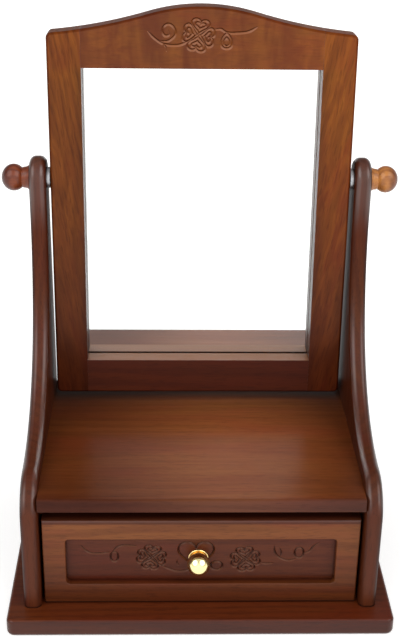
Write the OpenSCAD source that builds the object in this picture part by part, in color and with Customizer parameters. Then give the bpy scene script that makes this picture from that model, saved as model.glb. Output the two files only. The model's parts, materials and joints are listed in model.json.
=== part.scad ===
// Table-top makeup mirror: a framed mirror that tilts between two swept side
// panels, over a case with one drawer. Millimetres. The origin is the centre
// of the base's underside, +Z is up and the front faces -Y.

/* [Base] */
// Width of the base board
base_w = 300; // [288:1:340]
// Depth of the base board, front to back
base_d = 212; // [195:1:250]
// Thickness of the base board
base_t = 15; // [12:0.5:20]
// Radius of the base board's corners, seen from above
base_corner_r = 6; // [5:0.5:10]
// Round-over along the base board's upper edges
base_top_r = 2.5; // [1:0.5:4]
// Round-over along the base board's lower edges
base_foot_r = 4; // [1:0.5:5]

/* [Side panels] */
// How far the side panels stand in from the base's ends
side_inset = 12.5; // [8:0.5:18]
// Thickness of each side panel
panel_t = 13.5; // [12:0.5:16]
// How far the side panels stand back from the base's front edge
panel_inset = 16; // [8:0.5:24]
// Radius of the round shoulder
shoulder_r = 33; // [20:1:40]
// Height of the shoulder above the shelf
shoulder_rise = 11; // [4:0.5:20]
// Width of the upright, front to back, which its round top follows
upright_w = 35; // [30:0.5:42]
// Turn of the lower, tighter part of the sweep, in degrees
sweep_turn = 66; // [60:1:72]
// How far below the pivot the sweep runs out into the upright
sweep_end = 26; // [20:1:50]
// Round-over along both arrises of the side panels
panel_arris_r = 5; // [1:0.5:5.5]

/* [Shelf, rail and back] */
// Thickness of the shelf over the drawer
shelf_t = 11; // [9:0.5:16]
// How far the shelf stands back from the panels' front edges
shelf_inset = 2.5; // [0.5:0.5:8]
// Round-over along the shelf's upper front edge
shelf_arris_r = 2; // [1:0.5:4]
// Height of the rail under the shelf
rail_h = 14; // [12:0.5:20]
// Depth of the rail under the shelf, front to back
rail_d = 14; // [10:0.5:24]
// Thickness of the case's back panel
back_t = 3; // [2.5:0.5:5]
// Width of the rabbets that take the back panel
back_rabbet = 6; // [5:0.5:7]

/* [Drawer] */
// Height of the drawer front
front_h = 76.5; // [65:0.5:95]
// Thickness of the drawer front
front_t = 15; // [14:0.5:20]
// How far the drawer front stands back from the panels' front edges
front_inset = 6.5; // [3:0.5:10]
// Gap at each end of the drawer front
front_side_gap = 2.2; // [0.8:0.1:4]
// Gap between the drawer front and the shelf over it
front_top_gap = 10; // [4:0.5:11]
// Gap between the drawer and the base that it runs on
drawer_lift = 0.5; // [0.3:0.1:1]
// Border around the sunk field of the drawer front
field_border = 17.5; // [10:0.5:24]
// Depth of the sunk field
field_depth = 6; // [2:0.5:8]
// Radius of the sunk field's corners
field_corner_r = 3; // [1:0.5:6]
// Round-over along the drawer front's upper and end arrises
front_arris_r = 1.5; // [0.5:0.5:3]
// Thickness of the drawer's sides and back
drawer_side_t = 9; // [7:0.5:12]
// Thickness of the drawer's bottom
drawer_bottom_t = 3; // [2:0.5:5]
// Height of the bottom's groove over the lower edge of the sides
drawer_groove_h = 6; // [4:0.5:10]
// Depth of the grooves that hold the drawer's bottom
drawer_groove_d = 4; // [2:0.5:5]
// Gap between the drawer's sides and the rail over them
drawer_box_gap = 1.5; // [0.5:0.5:4]
// Gap around the drawer's bottom in its grooves
drawer_groove_gap = 0.2; // [0.1:0.05:0.5]
// Depth of the dowels in the drawer's sides
side_dowel_in = 16; // [10:0.5:24]
// Wood left in front of those dowels in the drawer front
front_skin = 8; // [4:0.5:8]
// Gap between the closed drawer and the case's back panel
drawer_back_gap = 5; // [2:0.5:20]
// Gap between the drawer front and the rail that stops it
front_stop_gap = 0.4; // [0.3:0.1:1]

/* [Drawer knob] */
// Diameter of the drawer knob's ball
pull_d = 15.6; // [12:0.2:20]
// Distance from the sunk field to the centre of the ball
pull_reach = 10; // [9:0.5:14]
// Diameter of the knob's flange
pull_flange_d = 16.5; // [12:0.5:20]
// Thickness of the knob's flange at its edge
pull_flange_t = 1.2; // [0.8:0.1:1.6]
// Diameter of the knob's neck
pull_neck_d = 8; // [7:0.5:11]
// Offset of the knob from the drawer's centre line
pull_x = -2; // [-10:0.5:10]
// Diameter of the screw that holds the knob
pull_screw_d = 4; // [3:0.5:5]
// Diameter of that screw's head
pull_head_d = 8; // [7:0.5:10]
// Thickness of that screw's head
pull_head_t = 2.5; // [2:0.5:3]
// Depth of the screw's hole in the knob
pull_thread = 7; // [5:0.5:9]

/* [Mirror frame] */
// Space between the mirror frame and each side panel
frame_gap = 3.5; // [2.5:0.1:5]
// Width of the stiles
stile_w = 26.5; // [22:0.5:32]
// Width of the bottom rail
foot_rail_w = 30; // [24:0.5:40]
// Width of the crest rail at its ends
crest_rail_w = 26.5; // [24:0.5:34]
// Height of the dome over the ends of the crest rail
crest_rise = 20.8; // [15:0.2:30]
// Radius of the dome
dome_r = 150; // [120:1:180]
// Radius of the hollow flanks beside the dome
flank_r = 400; // [300:5:500]
// Distance from the pivot down to the frame's lower edge
frame_drop = 186.5; // [160:0.5:200]
// Distance from the pivot up to the upper edge of the glass opening
opening_top_h = 90; // [70:0.5:110]
// Thickness of the frame
frame_t = 22; // [21:0.5:26]
// Round-over along the frame's outer arrises
frame_arris_r = 2; // [1:0.5:3]
// Radius of the frame's four corners
frame_corner_r = 4; // [3.5:0.5:8]
// Least gap between the turning frame and the shelf
swing_gap = 6.5; // [3:0.5:15]
// Lean of the frame from upright, top to the back, in degrees
lean = 3.5; // [0:0.5:15]

/* [Glass] */
// Thickness of the wood in front of the glass
lip_t = 15; // [13:0.1:15]
// Width of the rabbet that takes the glass
rabbet_w = 6; // [5:0.5:8]
// Thickness of the mirror glass
glass_t = 3; // [2:0.1:3]
// Thickness of the backing board
backing_t = 2.5; // [2:0.1:2.5]
// Gap around the glass and the backing board, in the rabbet
glass_gap = 0.5; // [0.3:0.1:0.9]
// Diameter of the pins that hold the backing board
pin_d = 1; // [0.8:0.1:1.4]
// Depth of those pins in the stiles
pin_in_stile = 6; // [3:0.5:8]
// Length of those pins over the rabbet
pin_out = 5; // [3:0.5:6]

/* [Tilt hardware] */
// Diameter of the studs that the frame turns on
stud_d = 6; // [5:0.5:7]
// Depth that a stud enters its knob
stud_in_knob = 13; // [10:0.5:16]
// Depth that a stud enters its insert
stud_in_frame = 11; // [9:0.5:12]
// Outside diameter of the threaded inserts
insert_d = 9.5; // [9:0.5:11]
// Length of the threaded inserts
insert_l = 13; // [12.5:0.5:16]
// Diameter of the spacer washers
washer_d = 17; // [14:0.5:20]
// Space left between a washer and the frame
washer_gap = 0.3; // [0.3:0.1:0.6]
// Diameter of the side knobs' balls
knob_d = 21.8; // [18:0.2:28]
// Distance from the panel to the centre of a knob's ball
knob_reach = 12.1; // [11:0.1:16]
// Diameter of a knob's neck at its narrowest
knob_neck_d = 17; // [14:0.2:18]
// Diameter of a knob's foot, where it meets the panel
knob_foot_d = 20; // [18.5:0.5:24]
// Distance from the panel to the turned groove
knob_groove_at = 6.4; // [5.5:0.1:7.5]
// Width of the turned groove
knob_groove_w = 0.8; // [0.5:0.1:1.2]
// Depth of the turned groove under the neck
knob_groove_d = 0.8; // [0.4:0.1:1.2]
// Space left between a knob and its panel
knob_gap = 0.3; // [0.3:0.1:0.6]

/* [Fasteners and fits] */
// Diameter of the dowels in the case and the drawer
dowel_d = 6; // [5:0.5:7]
// Diameter of the dowels in the mirror frame
frame_dowel_d = 5; // [4:0.5:7]
// Depth of the dowel holes in the mirror frame, on each side of a joint
frame_dowel_in = 13; // [9:0.5:16]
// Distance of those dowels from the edges of the frame's rails
frame_dowel_edge = 7.5; // [5:0.5:9]
// Depth of dowels and screws in the side panels
panel_dowel_in = 9; // [6:0.5:10]
// Depth of the case dowels in the shelf and the rail
board_dowel_in = 15; // [8:0.5:20]
// Diameter of the base screws
screw_d = 4; // [3:0.5:5]
// Diameter of the base screws' heads
screw_head_d = 8; // [7:0.5:9]
// Depth of the base screws' heads below the base's underside
screw_sink = 0.5; // [0.3:0.1:1.5]
// Depth of the screw holes in the side panels
screw_in = 26; // [15:1:32]
// Distance of the first screw or dowel from a panel's front and back
end_distance = 26; // [20:1:32]
// Diameter of the brads
brad_d = 1.3; // [1:0.1:1.3]
// Length of the brads
brad_l = 14; // [10:0.5:16]
// Space left at the closed end of a screw's or a dowel's hole
hole_end = 0.5; // [0.3:0.1:0.9]
// Radial clearance of the studs in the panels and inserts
run_fit = 0.08; // [0.03:0.01:0.1]
// Radial clearance of glued or driven pieces
glue_fit = 0.02; // [0.01:0.01:0.04]
// Radial clearance of a washer on its stud
washer_fit = 0.2; // [0.1:0.05:0.5]

/* [Hidden] */
$fn = 64;
eps = 0.01;
// Most that a chord may cut off an arc of an outline
chord_gap = 0.05;
// Steps around a quarter turn of a router's round-over
arris_steps = 5;

// Places in the case
panel_front = -base_d / 2 + panel_inset;
panel_back = base_d / 2;
case_w = base_w - 2 * (side_inset + panel_t);
case_in = case_w / 2;
case_out = case_in + panel_t;
shelf_under = base_t + drawer_lift + front_h + front_top_gap;
shelf_top = shelf_under + shelf_t;
shelf_front = panel_front + shelf_inset;
back_front = panel_back - back_t;
pivot_y = panel_back - upright_w / 2;
pivot_z = shelf_top + swing_gap + norm([frame_drop, frame_t / 2]);

// Places in the drawer
front_face = panel_front + front_inset;
front_back = front_face + front_t;
front_half = case_in - front_side_gap;
front_foot = base_t + drawer_lift;
front_top = front_foot + front_h;
rail_front = front_back + front_stop_gap;
box_top = shelf_under - rail_h - drawer_box_gap;
box_back = back_front - drawer_back_gap;
box_in = front_half - drawer_side_t;
field_face = front_face + field_depth;
pull_z = front_foot + front_h / 2;
bottom_z = front_foot + drawer_groove_h;

// Places in the mirror's own plane, measured from the pivot: x to the right,
// y up along the frame, z out of its front face
frame_half = case_in - frame_gap;
open_half = frame_half - stile_w;
open_foot = frame_drop - foot_rail_w;
crest_end = opening_top_h + crest_rail_w;
crest_top = crest_end + crest_rise;
glass_face = frame_t / 2 - lip_t;
glass_back = glass_face - glass_t;
backing_back = glass_back - backing_t;

// Places along the pivot
washer_t = frame_gap - washer_gap;
knob_foot = case_out + knob_gap;

// Angles along an arc, close enough together for its radius
function arc_angles(r, from, to) =
    let (n = ceil(abs(to - from) / (2 * acos(1 - chord_gap / r))))
    [for (i = [0:n]) from + (to - from) * i / n];
// A point of an outline holds x, y and the direction into the wood
function bulge(c, r, from, to) = [for (a = arc_angles(r, from, to))
    [c[0] + r * cos(a), c[1] + r * sin(a), -cos(a), -sin(a)]];
function hollow(c, r, from, to) = [for (a = arc_angles(r, from, to))
    [c[0] + r * cos(a), c[1] + r * sin(a), cos(a), sin(a)]];
// Stretches of outline end to end, without the points that meet
function joined(parts) = let (path = [for (part = parts) each part])
    [for (i = [0:len(path) - 1])
        if (i == 0 || abs(path[i][0] - path[i - 1][0]) + abs(path[i][1] - path[i - 1][1]) > eps)
            path[i]];
function flipped(path) = [for (i = [len(path) - 1:-1:0])
    [-path[i][0], path[i][1], -path[i][2], path[i][3]]];

// Height and inset of each ring of a slab with a round-over on both faces
function slab_rings(t, low_r, high_r) = concat(
    [for (i = [0:arris_steps]) let (a = 90 * i / arris_steps)
        [low_r * (1 - cos(a)), low_r * (1 - sin(a))]],
    [for (i = [arris_steps:-1:0]) let (a = 90 * i / arris_steps)
        [t - high_r * (1 - cos(a)), high_r * (1 - sin(a))]]);

// A slab of an outline whose arrises are run round by a router. Its faces fan
// out from the outline's first point, which sees all the others.
module routed_slab(path, t, low_r, high_r) {
    n = len(path);
    rings = slab_rings(t, low_r, high_r);
    last = len(rings) - 1;
    points = [for (ring = rings) for (p = path)
        [p[0] + ring[1] * p[2], p[1] + ring[1] * p[3], ring[0]]];
    walls = [for (k = [0:last - 1]) for (i = [0:n - 1])
        let (a = k * n + i, b = k * n + (i + 1) % n)
        each [[a, b + n, b], [a, a + n, b + n]]];
    low_face = [for (i = [1:n - 2]) [0, i, i + 1]];
    high_face = [for (i = [1:n - 2]) [last * n, last * n + i + 1, last * n + i]];
    polyhedron(points, concat(walls, low_face, high_face), convexity = 6);
}

// Two arcs that turn the sweep from level to upright in one smooth line
sweep_foot_y = panel_front + shoulder_r;
sweep_foot_z = shelf_top + shoulder_rise;
sweep_head_y = panel_back - upright_w;
sweep_head_z = pivot_z - sweep_end;
sweep_run = sweep_head_y - sweep_foot_y;
sweep_lift = sweep_head_z - sweep_foot_z;
sweep_share = sin(sweep_turn) * cos(sweep_turn)
    - (1 - sin(sweep_turn)) * (1 - cos(sweep_turn));
sweep_low_r = (sweep_run * cos(sweep_turn)
    - sweep_lift * (1 - sin(sweep_turn))) / sweep_share;
sweep_high_r = (sweep_lift * sin(sweep_turn)
    - sweep_run * (1 - cos(sweep_turn))) / sweep_share;

// The side panel seen from its side: x is front to back, y is height
panel_path = joined([
    [[panel_back, base_t, -1, 0]],
    bulge([pivot_y, pivot_z], upright_w / 2, 0, 180),
    hollow([sweep_head_y - sweep_high_r, sweep_head_z], sweep_high_r, 0, sweep_turn - 90),
    hollow([sweep_foot_y, sweep_foot_z + sweep_low_r], sweep_low_r, sweep_turn - 90, -90),
    bulge([sweep_foot_y, sweep_foot_z - shoulder_r], shoulder_r, 90, 180),
    [[panel_front, base_t, 1, 0]]
]);

// The crest line: a dome and two hollow flanks that run out at the corners
dome_c = [0, crest_top - dome_r];
edge_from_dome = [frame_half, crest_end] - dome_c;
flank_turn = atan2(edge_from_dome[0], edge_from_dome[1])
    - acos(((dome_r + flank_r) ^ 2 + norm(edge_from_dome) ^ 2 - flank_r ^ 2)
        / (2 * (dome_r + flank_r) * norm(edge_from_dome)));
flank_c = dome_c + (dome_r + flank_r) * [sin(flank_turn), cos(flank_turn)];
corner_x = frame_half - frame_corner_r;
corner_y = flank_c[1] - sqrt((flank_r + frame_corner_r) ^ 2 - (flank_c[0] - corner_x) ^ 2);
corner_turn = atan2(flank_c[1] - corner_y, flank_c[0] - corner_x);

// Half of the frame's outline, from the middle of its foot up to the crest
frame_half_path = joined([
    bulge([corner_x, frame_corner_r - frame_drop], frame_corner_r, -90, 0),
    bulge([corner_x, corner_y], frame_corner_r, 0, corner_turn),
    hollow(flank_c, flank_r, corner_turn + 180, 270 - flank_turn),
    bulge(dome_c, dome_r, 90 - flank_turn, 90)
]);
frame_path = concat(frame_half_path, [for (p = flipped(frame_half_path)) if (p[0] < -eps) p]);

// The base seen from above
base_path = joined([for (k = [0:3])
    let (sx = k == 0 || k == 3 ? 1 : -1, sy = k < 2 ? 1 : -1)
    bulge([sx * (base_w / 2 - base_corner_r), sy * (base_d / 2 - base_corner_r)],
        base_corner_r, 90 * k, 90 * (k + 1))]);

// Rows of fasteners
panel_row = [for (i = [0:2]) panel_front + end_distance
    + i * (panel_back - panel_front - 2 * end_distance) / 2];
shelf_row = [for (i = [0:2]) shelf_front + end_distance
    + i * (panel_back - shelf_front - 2 * end_distance) / 2];
back_row = [for (i = [0:2]) base_t + (shelf_under - base_t) * (i + 0.5) / 3];
rail_y = rail_front + rail_d / 2;
rail_z = shelf_under - rail_h / 2;
shelf_z = shelf_under + shelf_t / 2;
panel_mid = case_in + panel_t / 2;
brad_x = case_in + back_rabbet / 2;
side_dowel_d = drawer_side_t / 2;
box_foot = bottom_z + drawer_bottom_t;
box_row = [for (i = [0:1]) box_foot + (box_top - box_foot) * (1 + 2 * i) / 4];
frame_dowel_z = frame_t / 2 - lip_t / 2;
frame_rows = [
    opening_top_h + frame_dowel_edge, crest_end - frame_dowel_edge,
    -open_foot - frame_dowel_edge, -frame_drop + frame_dowel_edge
];
pin_z = backing_back - pin_d / 2 - glue_fit;
pin_rows = [for (i = [0:2]) -open_foot + (open_foot + opening_top_h) * (1 + 2 * i) / 6];

// Finishes
stain = "#5a2f23";
stain_dark = "#472520";
stain_warm = "#74401f";
bare_wood = "#a9855c";
plywood = "#b99a70";
hardboard = "#8a6a48";
light_gloss = "#b5793f";
dark_gloss = "#7a3b25";
silvered = "#e8eef0";
steel = "#b9bcc0";
brass = "#d9b45a";

module mirrored_pair() {
    children();
    mirror([1, 0, 0]) children();
}

// Lays a shape drawn in the mirror's own plane into its leaning place
module in_frame() {
    translate([0, pivot_y, pivot_z]) rotate([90 - lean, 0, 0]) children();
}

// Stands a shape drawn along +Z out to the right along the pivot
module along_pivot(from) {
    translate([from, pivot_y, pivot_z]) rotate([0, 90, 0]) children();
}

// Stand
module base_board() {
    color(stain_dark)
    difference() {
        routed_slab(base_path, base_t, base_foot_r, base_top_r);
        mirrored_pair() for (y = panel_row) translate([panel_mid, y, 0]) {
            translate([0, 0, -eps]) cylinder(r = screw_d / 2 + glue_fit, h = base_t + 2 * eps);
            translate([0, 0, screw_sink]) screw_head(glue_fit);
            translate([0, 0, -eps]) cylinder(r = screw_head_d / 2 + glue_fit, h = screw_sink + 2 * eps);
        }
    }
}

module screw_head(grow) {
    cylinder(r1 = screw_head_d / 2 + grow, r2 = screw_d / 2 + grow,
        h = (screw_head_d - screw_d) / 2);
}

module side_panel() {
    difference() {
        translate([case_in, 0, 0]) rotate([90, 0, 90])
            routed_slab(panel_path, panel_t, panel_arris_r, panel_arris_r);
        along_pivot(case_in - eps) cylinder(r = stud_d / 2 + run_fit, h = panel_t + 2 * eps);
        for (y = panel_row) translate([panel_mid, y, base_t - eps])
            cylinder(r = screw_d / 2 + glue_fit, h = screw_in + eps);
        for (y = shelf_row) dowel_hole(case_in - eps, y, shelf_z, panel_dowel_in + eps);
        dowel_hole(case_in - eps, rail_y, rail_z, panel_dowel_in + eps);
        translate([case_in - eps, back_front, base_t - eps])
            cube([back_rabbet + eps, back_t + eps, shelf_under - base_t + eps]);
        for (z = back_row) translate([brad_x, back_front + eps, z])
            rotate([90, 0, 0]) cylinder(r = brad_d / 2 + glue_fit, h = brad_l - back_t + eps);
    }
}

// A hole for a dowel that runs to the right from x
module dowel_hole(x, y, z, depth) {
    translate([x, y, z]) rotate([0, 90, 0]) cylinder(r = dowel_d / 2 + glue_fit, h = depth);
}

module right_side_panel() {
    color(stain) side_panel();
}

module left_side_panel() {
    color(stain) mirror([1, 0, 0]) side_panel();
}

module top_board() {
    color(stain)
    difference() {
        translate([-case_in, shelf_front, shelf_under])
            cube([case_w, panel_back - shelf_front, shelf_t]);
        translate([-case_in - eps, shelf_front, shelf_top]) rotate([90, 0, 90])
            edge_waste(shelf_arris_r, case_w + 2 * eps);
        mirrored_pair() for (y = shelf_row)
            dowel_hole(case_in - board_dowel_in, y, shelf_z, board_dowel_in + eps);
    }
}

// What a router takes off a square edge that runs along +Z at the origin,
// where the wood lies at +x and -y
module edge_waste(r, l) {
    linear_extrude(l) difference() {
        translate([-eps, -r]) square([r + eps, r + eps]);
        translate([r, -r]) circle(r);
    }
}

module drawer_rail() {
    color(stain_dark)
    difference() {
        translate([-case_in, rail_front, shelf_under - rail_h]) cube([case_w, rail_d, rail_h]);
        mirrored_pair() dowel_hole(case_in - board_dowel_in, rail_y, rail_z, board_dowel_in + eps);
    }
}

module back_panel() {
    half = case_in + back_rabbet - glue_fit;
    color(stain_dark)
    difference() {
        translate([-half, back_front, base_t]) cube([2 * half, back_t, shelf_under - base_t]);
        mirrored_pair() for (z = back_row) translate([brad_x, panel_back + eps, z])
            rotate([90, 0, 0]) cylinder(r = brad_d / 2 + glue_fit, h = back_t + 2 * eps);
    }
}

module base_screws() {
    color(steel)
    mirrored_pair() for (y = panel_row) translate([panel_mid, y, screw_sink]) {
        screw_head(0);
        cylinder(r = screw_d / 2, h = base_t + screw_in - screw_sink - hole_end);
    }
}

module shelf_dowels() {
    color(bare_wood)
    mirrored_pair() for (y = shelf_row) dowel(y, shelf_z);
}

module rail_dowels() {
    color(bare_wood)
    mirrored_pair() dowel(rail_y, rail_z);
}

// A dowel between a board and the side panel to its right
module dowel(y, z) {
    translate([case_in - board_dowel_in + hole_end, y, z]) rotate([0, 90, 0])
        cylinder(r = dowel_d / 2, h = board_dowel_in + panel_dowel_in - 2 * hole_end);
}

module back_brads() {
    color(steel)
    mirrored_pair() for (z = back_row) translate([brad_x, panel_back, z])
        rotate([90, 0, 0]) cylinder(r = brad_d / 2, h = brad_l);
}

// Tilt hardware
module washer() {
    along_pivot(case_in - washer_t) difference() {
        cylinder(r = washer_d / 2, h = washer_t);
        translate([0, 0, -eps]) cylinder(r = stud_d / 2 + washer_fit, h = washer_t + 2 * eps);
    }
}

module right_washer() {
    color(steel) washer();
}

module left_washer() {
    color(steel) mirror([1, 0, 0]) washer();
}

module stud() {
    tip = frame_half - stud_in_frame;
    along_pivot(tip) cylinder(r = stud_d / 2, h = case_out + stud_in_knob - tip);
}

module right_stud() {
    color(steel) stud();
}

module left_stud() {
    color(steel) mirror([1, 0, 0]) stud();
}

// The knob turned on a lathe: foot, hollow neck, groove and ball
module knob() {
    foot = knob_foot_d / 2;
    neck = knob_neck_d / 2;
    cove = (foot - neck) * 2;
    reach = knob_reach - knob_gap;
    groove_at = knob_groove_at - knob_gap;
    along_pivot(knob_foot) difference() {
        rotate_extrude() {
            difference() {
                square([foot, groove_at]);
                translate([neck + cove, cove]) circle(cove);
                translate([neck, cove]) square([foot, groove_at]);
            }
            square([neck - knob_groove_d, groove_at + knob_groove_w]);
            intersection() {
                translate([0, reach]) circle(knob_d / 2);
                translate([0, groove_at + knob_groove_w]) square([knob_d, knob_d + reach]);
            }
        }
        translate([0, 0, -eps]) cylinder(r = stud_d / 2 + glue_fit,
            h = stud_in_knob - knob_gap + eps);
    }
}

module right_knob() {
    color(light_gloss) knob();
}

module left_knob() {
    color(dark_gloss) mirror([1, 0, 0]) knob();
}

module insert() {
    along_pivot(frame_half - insert_l) difference() {
        cylinder(r = insert_d / 2, h = insert_l);
        translate([0, 0, -eps]) cylinder(r = stud_d / 2 + run_fit, h = insert_l + 2 * eps);
    }
}

module right_insert() {
    color(brass) insert();
}

module left_insert() {
    color(brass) mirror([1, 0, 0]) insert();
}

// Mirror frame, in its own plane
module frame_blank() {
    difference() {
        translate([0, 0, -frame_t / 2])
            routed_slab(frame_path, frame_t, frame_arris_r, frame_arris_r);
        translate([-open_half - rabbet_w, -open_foot - rabbet_w, -frame_t / 2 - eps])
            cube([2 * (open_half + rabbet_w), open_foot + opening_top_h + 2 * rabbet_w,
                frame_t - lip_t + eps]);
    }
}

module frame_dowel_holes() {
    mirrored_pair() for (y = frame_rows) frame_dowel(y, glue_fit, 0);
}

module frame_dowel(y, grow, play) {
    translate([open_half - frame_dowel_in + play, y, frame_dowel_z]) rotate([0, 90, 0])
        cylinder(r = frame_dowel_d / 2 + grow, h = 2 * (frame_dowel_in - play));
}

module backing_pin(y, grow) {
    translate([open_half + rabbet_w - pin_out, y, pin_z]) rotate([0, 90, 0])
        cylinder(r = pin_d / 2 + grow, h = pin_out + pin_in_stile);
}

module stile() {
    difference() {
        in_frame() difference() {
            intersection() {
                frame_blank();
                translate([open_half, -frame_drop - eps, -frame_t])
                    cube([stile_w + eps, frame_drop + crest_top, 2 * frame_t]);
            }
            frame_dowel_holes();
            for (y = pin_rows) backing_pin(y, glue_fit);
        }
        along_pivot(frame_half - insert_l) cylinder(r = insert_d / 2 + glue_fit, h = insert_l + eps);
    }
}

module right_stile() {
    color(stain_warm) stile();
}

module left_stile() {
    color(stain_warm) mirror([1, 0, 0]) stile();
}

// The stretch of the frame between the stiles, from one height to another
module frame_rail(from, to) {
    in_frame() difference() {
        intersection() {
            frame_blank();
            translate([-open_half, from, -frame_t]) cube([2 * open_half, to - from, 2 * frame_t]);
        }
        frame_dowel_holes();
    }
}

module crest_rail() {
    color(stain_warm) frame_rail(opening_top_h, crest_top + eps);
}

module bottom_rail() {
    color(stain_warm) frame_rail(-frame_drop - eps, -open_foot);
}

module frame_dowels() {
    color(bare_wood)
    in_frame() mirrored_pair() for (y = frame_rows) frame_dowel(y, 0, hole_end);
}

// A sheet that lies in the frame's rabbet
module rabbet_sheet(back, t) {
    half = open_half + rabbet_w - glass_gap;
    in_frame() translate([-half, -open_foot - rabbet_w + glass_gap, back])
        cube([2 * half, open_foot + opening_top_h + 2 * (rabbet_w - glass_gap), t]);
}

module mirror_glass() {
    color(silvered) rabbet_sheet(glass_back, glass_t);
}

module backing_board() {
    color(hardboard) rabbet_sheet(backing_back, backing_t);
}

module backing_pins() {
    color(steel)
    in_frame() mirrored_pair() for (y = pin_rows) backing_pin(y, 0);
}

// Drawer
module drawer_front() {
    field_w = 2 * (front_half - field_border);
    field_h = front_h - 2 * field_border;
    color(stain)
    difference() {
        translate([-front_half, front_face, front_foot]) cube([2 * front_half, front_t, front_h]);
        translate([-front_half - eps, front_face, front_top]) rotate([90, 0, 90])
            edge_waste(front_arris_r, 2 * front_half + 2 * eps);
        mirrored_pair() translate([front_half, front_face, front_foot - eps])
            rotate([0, 0, 90]) edge_waste(front_arris_r, front_h + 2 * eps);
        translate([0, field_face, front_foot + front_h / 2]) rotate([90, 0, 0])
            field_waste(field_w, field_h, field_depth + eps);
        translate([pull_x, front_back + eps, pull_z]) rotate([90, 0, 0])
            cylinder(r = pull_screw_d / 2 + glue_fit, h = front_t);
        mirrored_pair() for (z = box_row) front_dowel(z, glue_fit, 0);
        translate([-box_in - drawer_groove_d, front_back - drawer_groove_d, bottom_z])
            cube([2 * (box_in + drawer_groove_d), drawer_groove_d + eps, drawer_bottom_t]);
    }
}

// A flat pocket with round corners, cut towards +Z
module field_waste(w, h, depth) {
    linear_extrude(depth) {
        square([w - 2 * field_corner_r, h], center = true);
        square([w, h - 2 * field_corner_r], center = true);
        for (sx = [-1, 1]) for (sy = [-1, 1])
            translate([sx * (w / 2 - field_corner_r), sy * (h / 2 - field_corner_r)])
                circle(field_corner_r);
    }
}

module front_dowel(z, grow, play) {
    translate([front_half - drawer_side_t / 2, front_back + side_dowel_in - play, z])
        rotate([90, 0, 0])
        cylinder(r = side_dowel_d / 2 + grow, h = side_dowel_in + front_t - front_skin - 2 * play);
}

module box_brad(z, grow, over) {
    translate([front_half + over, box_back - drawer_side_t / 2, z]) rotate([0, -90, 0])
        cylinder(r = brad_d / 2 + grow, h = brad_l + over);
}

module drawer_side() {
    difference() {
        translate([box_in, front_back, front_foot])
            cube([drawer_side_t, box_back - front_back, box_top - front_foot]);
        translate([box_in - eps, front_back - eps, bottom_z])
            cube([drawer_groove_d + eps, box_back - front_back + 2 * eps, drawer_bottom_t]);
        for (z = box_row) front_dowel(z, glue_fit, 0);
        for (z = box_row) box_brad(z, glue_fit, eps);
    }
}

module drawer_right_side() {
    color(bare_wood) drawer_side();
}

module drawer_left_side() {
    color(bare_wood) mirror([1, 0, 0]) drawer_side();
}

module drawer_back() {
    color(bare_wood)
    difference() {
        translate([-box_in, box_back - drawer_side_t, box_foot])
            cube([2 * box_in, drawer_side_t, box_top - box_foot]);
        mirrored_pair() for (z = box_row) box_brad(z, glue_fit, eps);
    }
}

module drawer_bottom() {
    half = box_in + drawer_groove_d - drawer_groove_gap;
    from = front_back - drawer_groove_d + drawer_groove_gap;
    color(plywood)
    translate([-half, from, bottom_z]) cube([2 * half, box_back - from, drawer_bottom_t]);
}

module drawer_dowels() {
    color(bare_wood)
    mirrored_pair() for (z = box_row) front_dowel(z, 0, hole_end);
}

module drawer_brads() {
    color(steel)
    mirrored_pair() for (z = box_row) box_brad(z, 0, 0);
}

// The brass knob: flange, neck and ball on one turned profile
module drawer_knob() {
    ball = pull_d / 2;
    neck = pull_neck_d / 2;
    color(brass)
    translate([pull_x, field_face, pull_z]) rotate([90, 0, 0]) difference() {
        rotate_extrude() {
            square([pull_flange_d / 2, pull_flange_t]);
            square([neck, pull_reach]);
            intersection() {
                translate([0, pull_reach]) circle(ball);
                translate([0, pull_flange_t]) square([pull_d, pull_reach + pull_d]);
            }
        }
        translate([0, 0, -eps]) cylinder(r = pull_screw_d / 2 + glue_fit, h = pull_thread + eps);
    }
}

module drawer_knob_screw() {
    color(steel)
    translate([pull_x, front_back, pull_z]) rotate([90, 0, 0]) {
        translate([0, 0, -pull_head_t]) cylinder(r = pull_head_d / 2, h = pull_head_t);
        translate([0, 0, -eps])
            cylinder(r = pull_screw_d / 2, h = front_t - field_depth + pull_thread - hole_end);
    }
}

base_board();
left_side_panel();
right_side_panel();
top_board();
drawer_rail();
back_panel();
base_screws();
shelf_dowels();
rail_dowels();
back_brads();
left_stile();
right_stile();
crest_rail();
bottom_rail();
mirror_glass();
backing_board();
frame_dowels();
backing_pins();
left_insert();
right_insert();
left_knob();
left_stud();
left_washer();
right_knob();
right_stud();
right_washer();
drawer_front();
drawer_left_side();
drawer_right_side();
drawer_back();
drawer_bottom();
drawer_dowels();
drawer_brads();
drawer_knob();
drawer_knob_screw();
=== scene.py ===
"""Builds the looks of a table-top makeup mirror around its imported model.

The file is laid out as an add-on: each operator makes one group of pieces, in
metres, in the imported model's own frame. +Z is up, the front faces -Y, and the
origin is the centre of the base's underside.
"""

import json
import math

import bmesh
import bpy
from bpy.props import FloatProperty, FloatVectorProperty, IntProperty, PointerProperty
from mathutils import Matrix, Vector, kdtree


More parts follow.
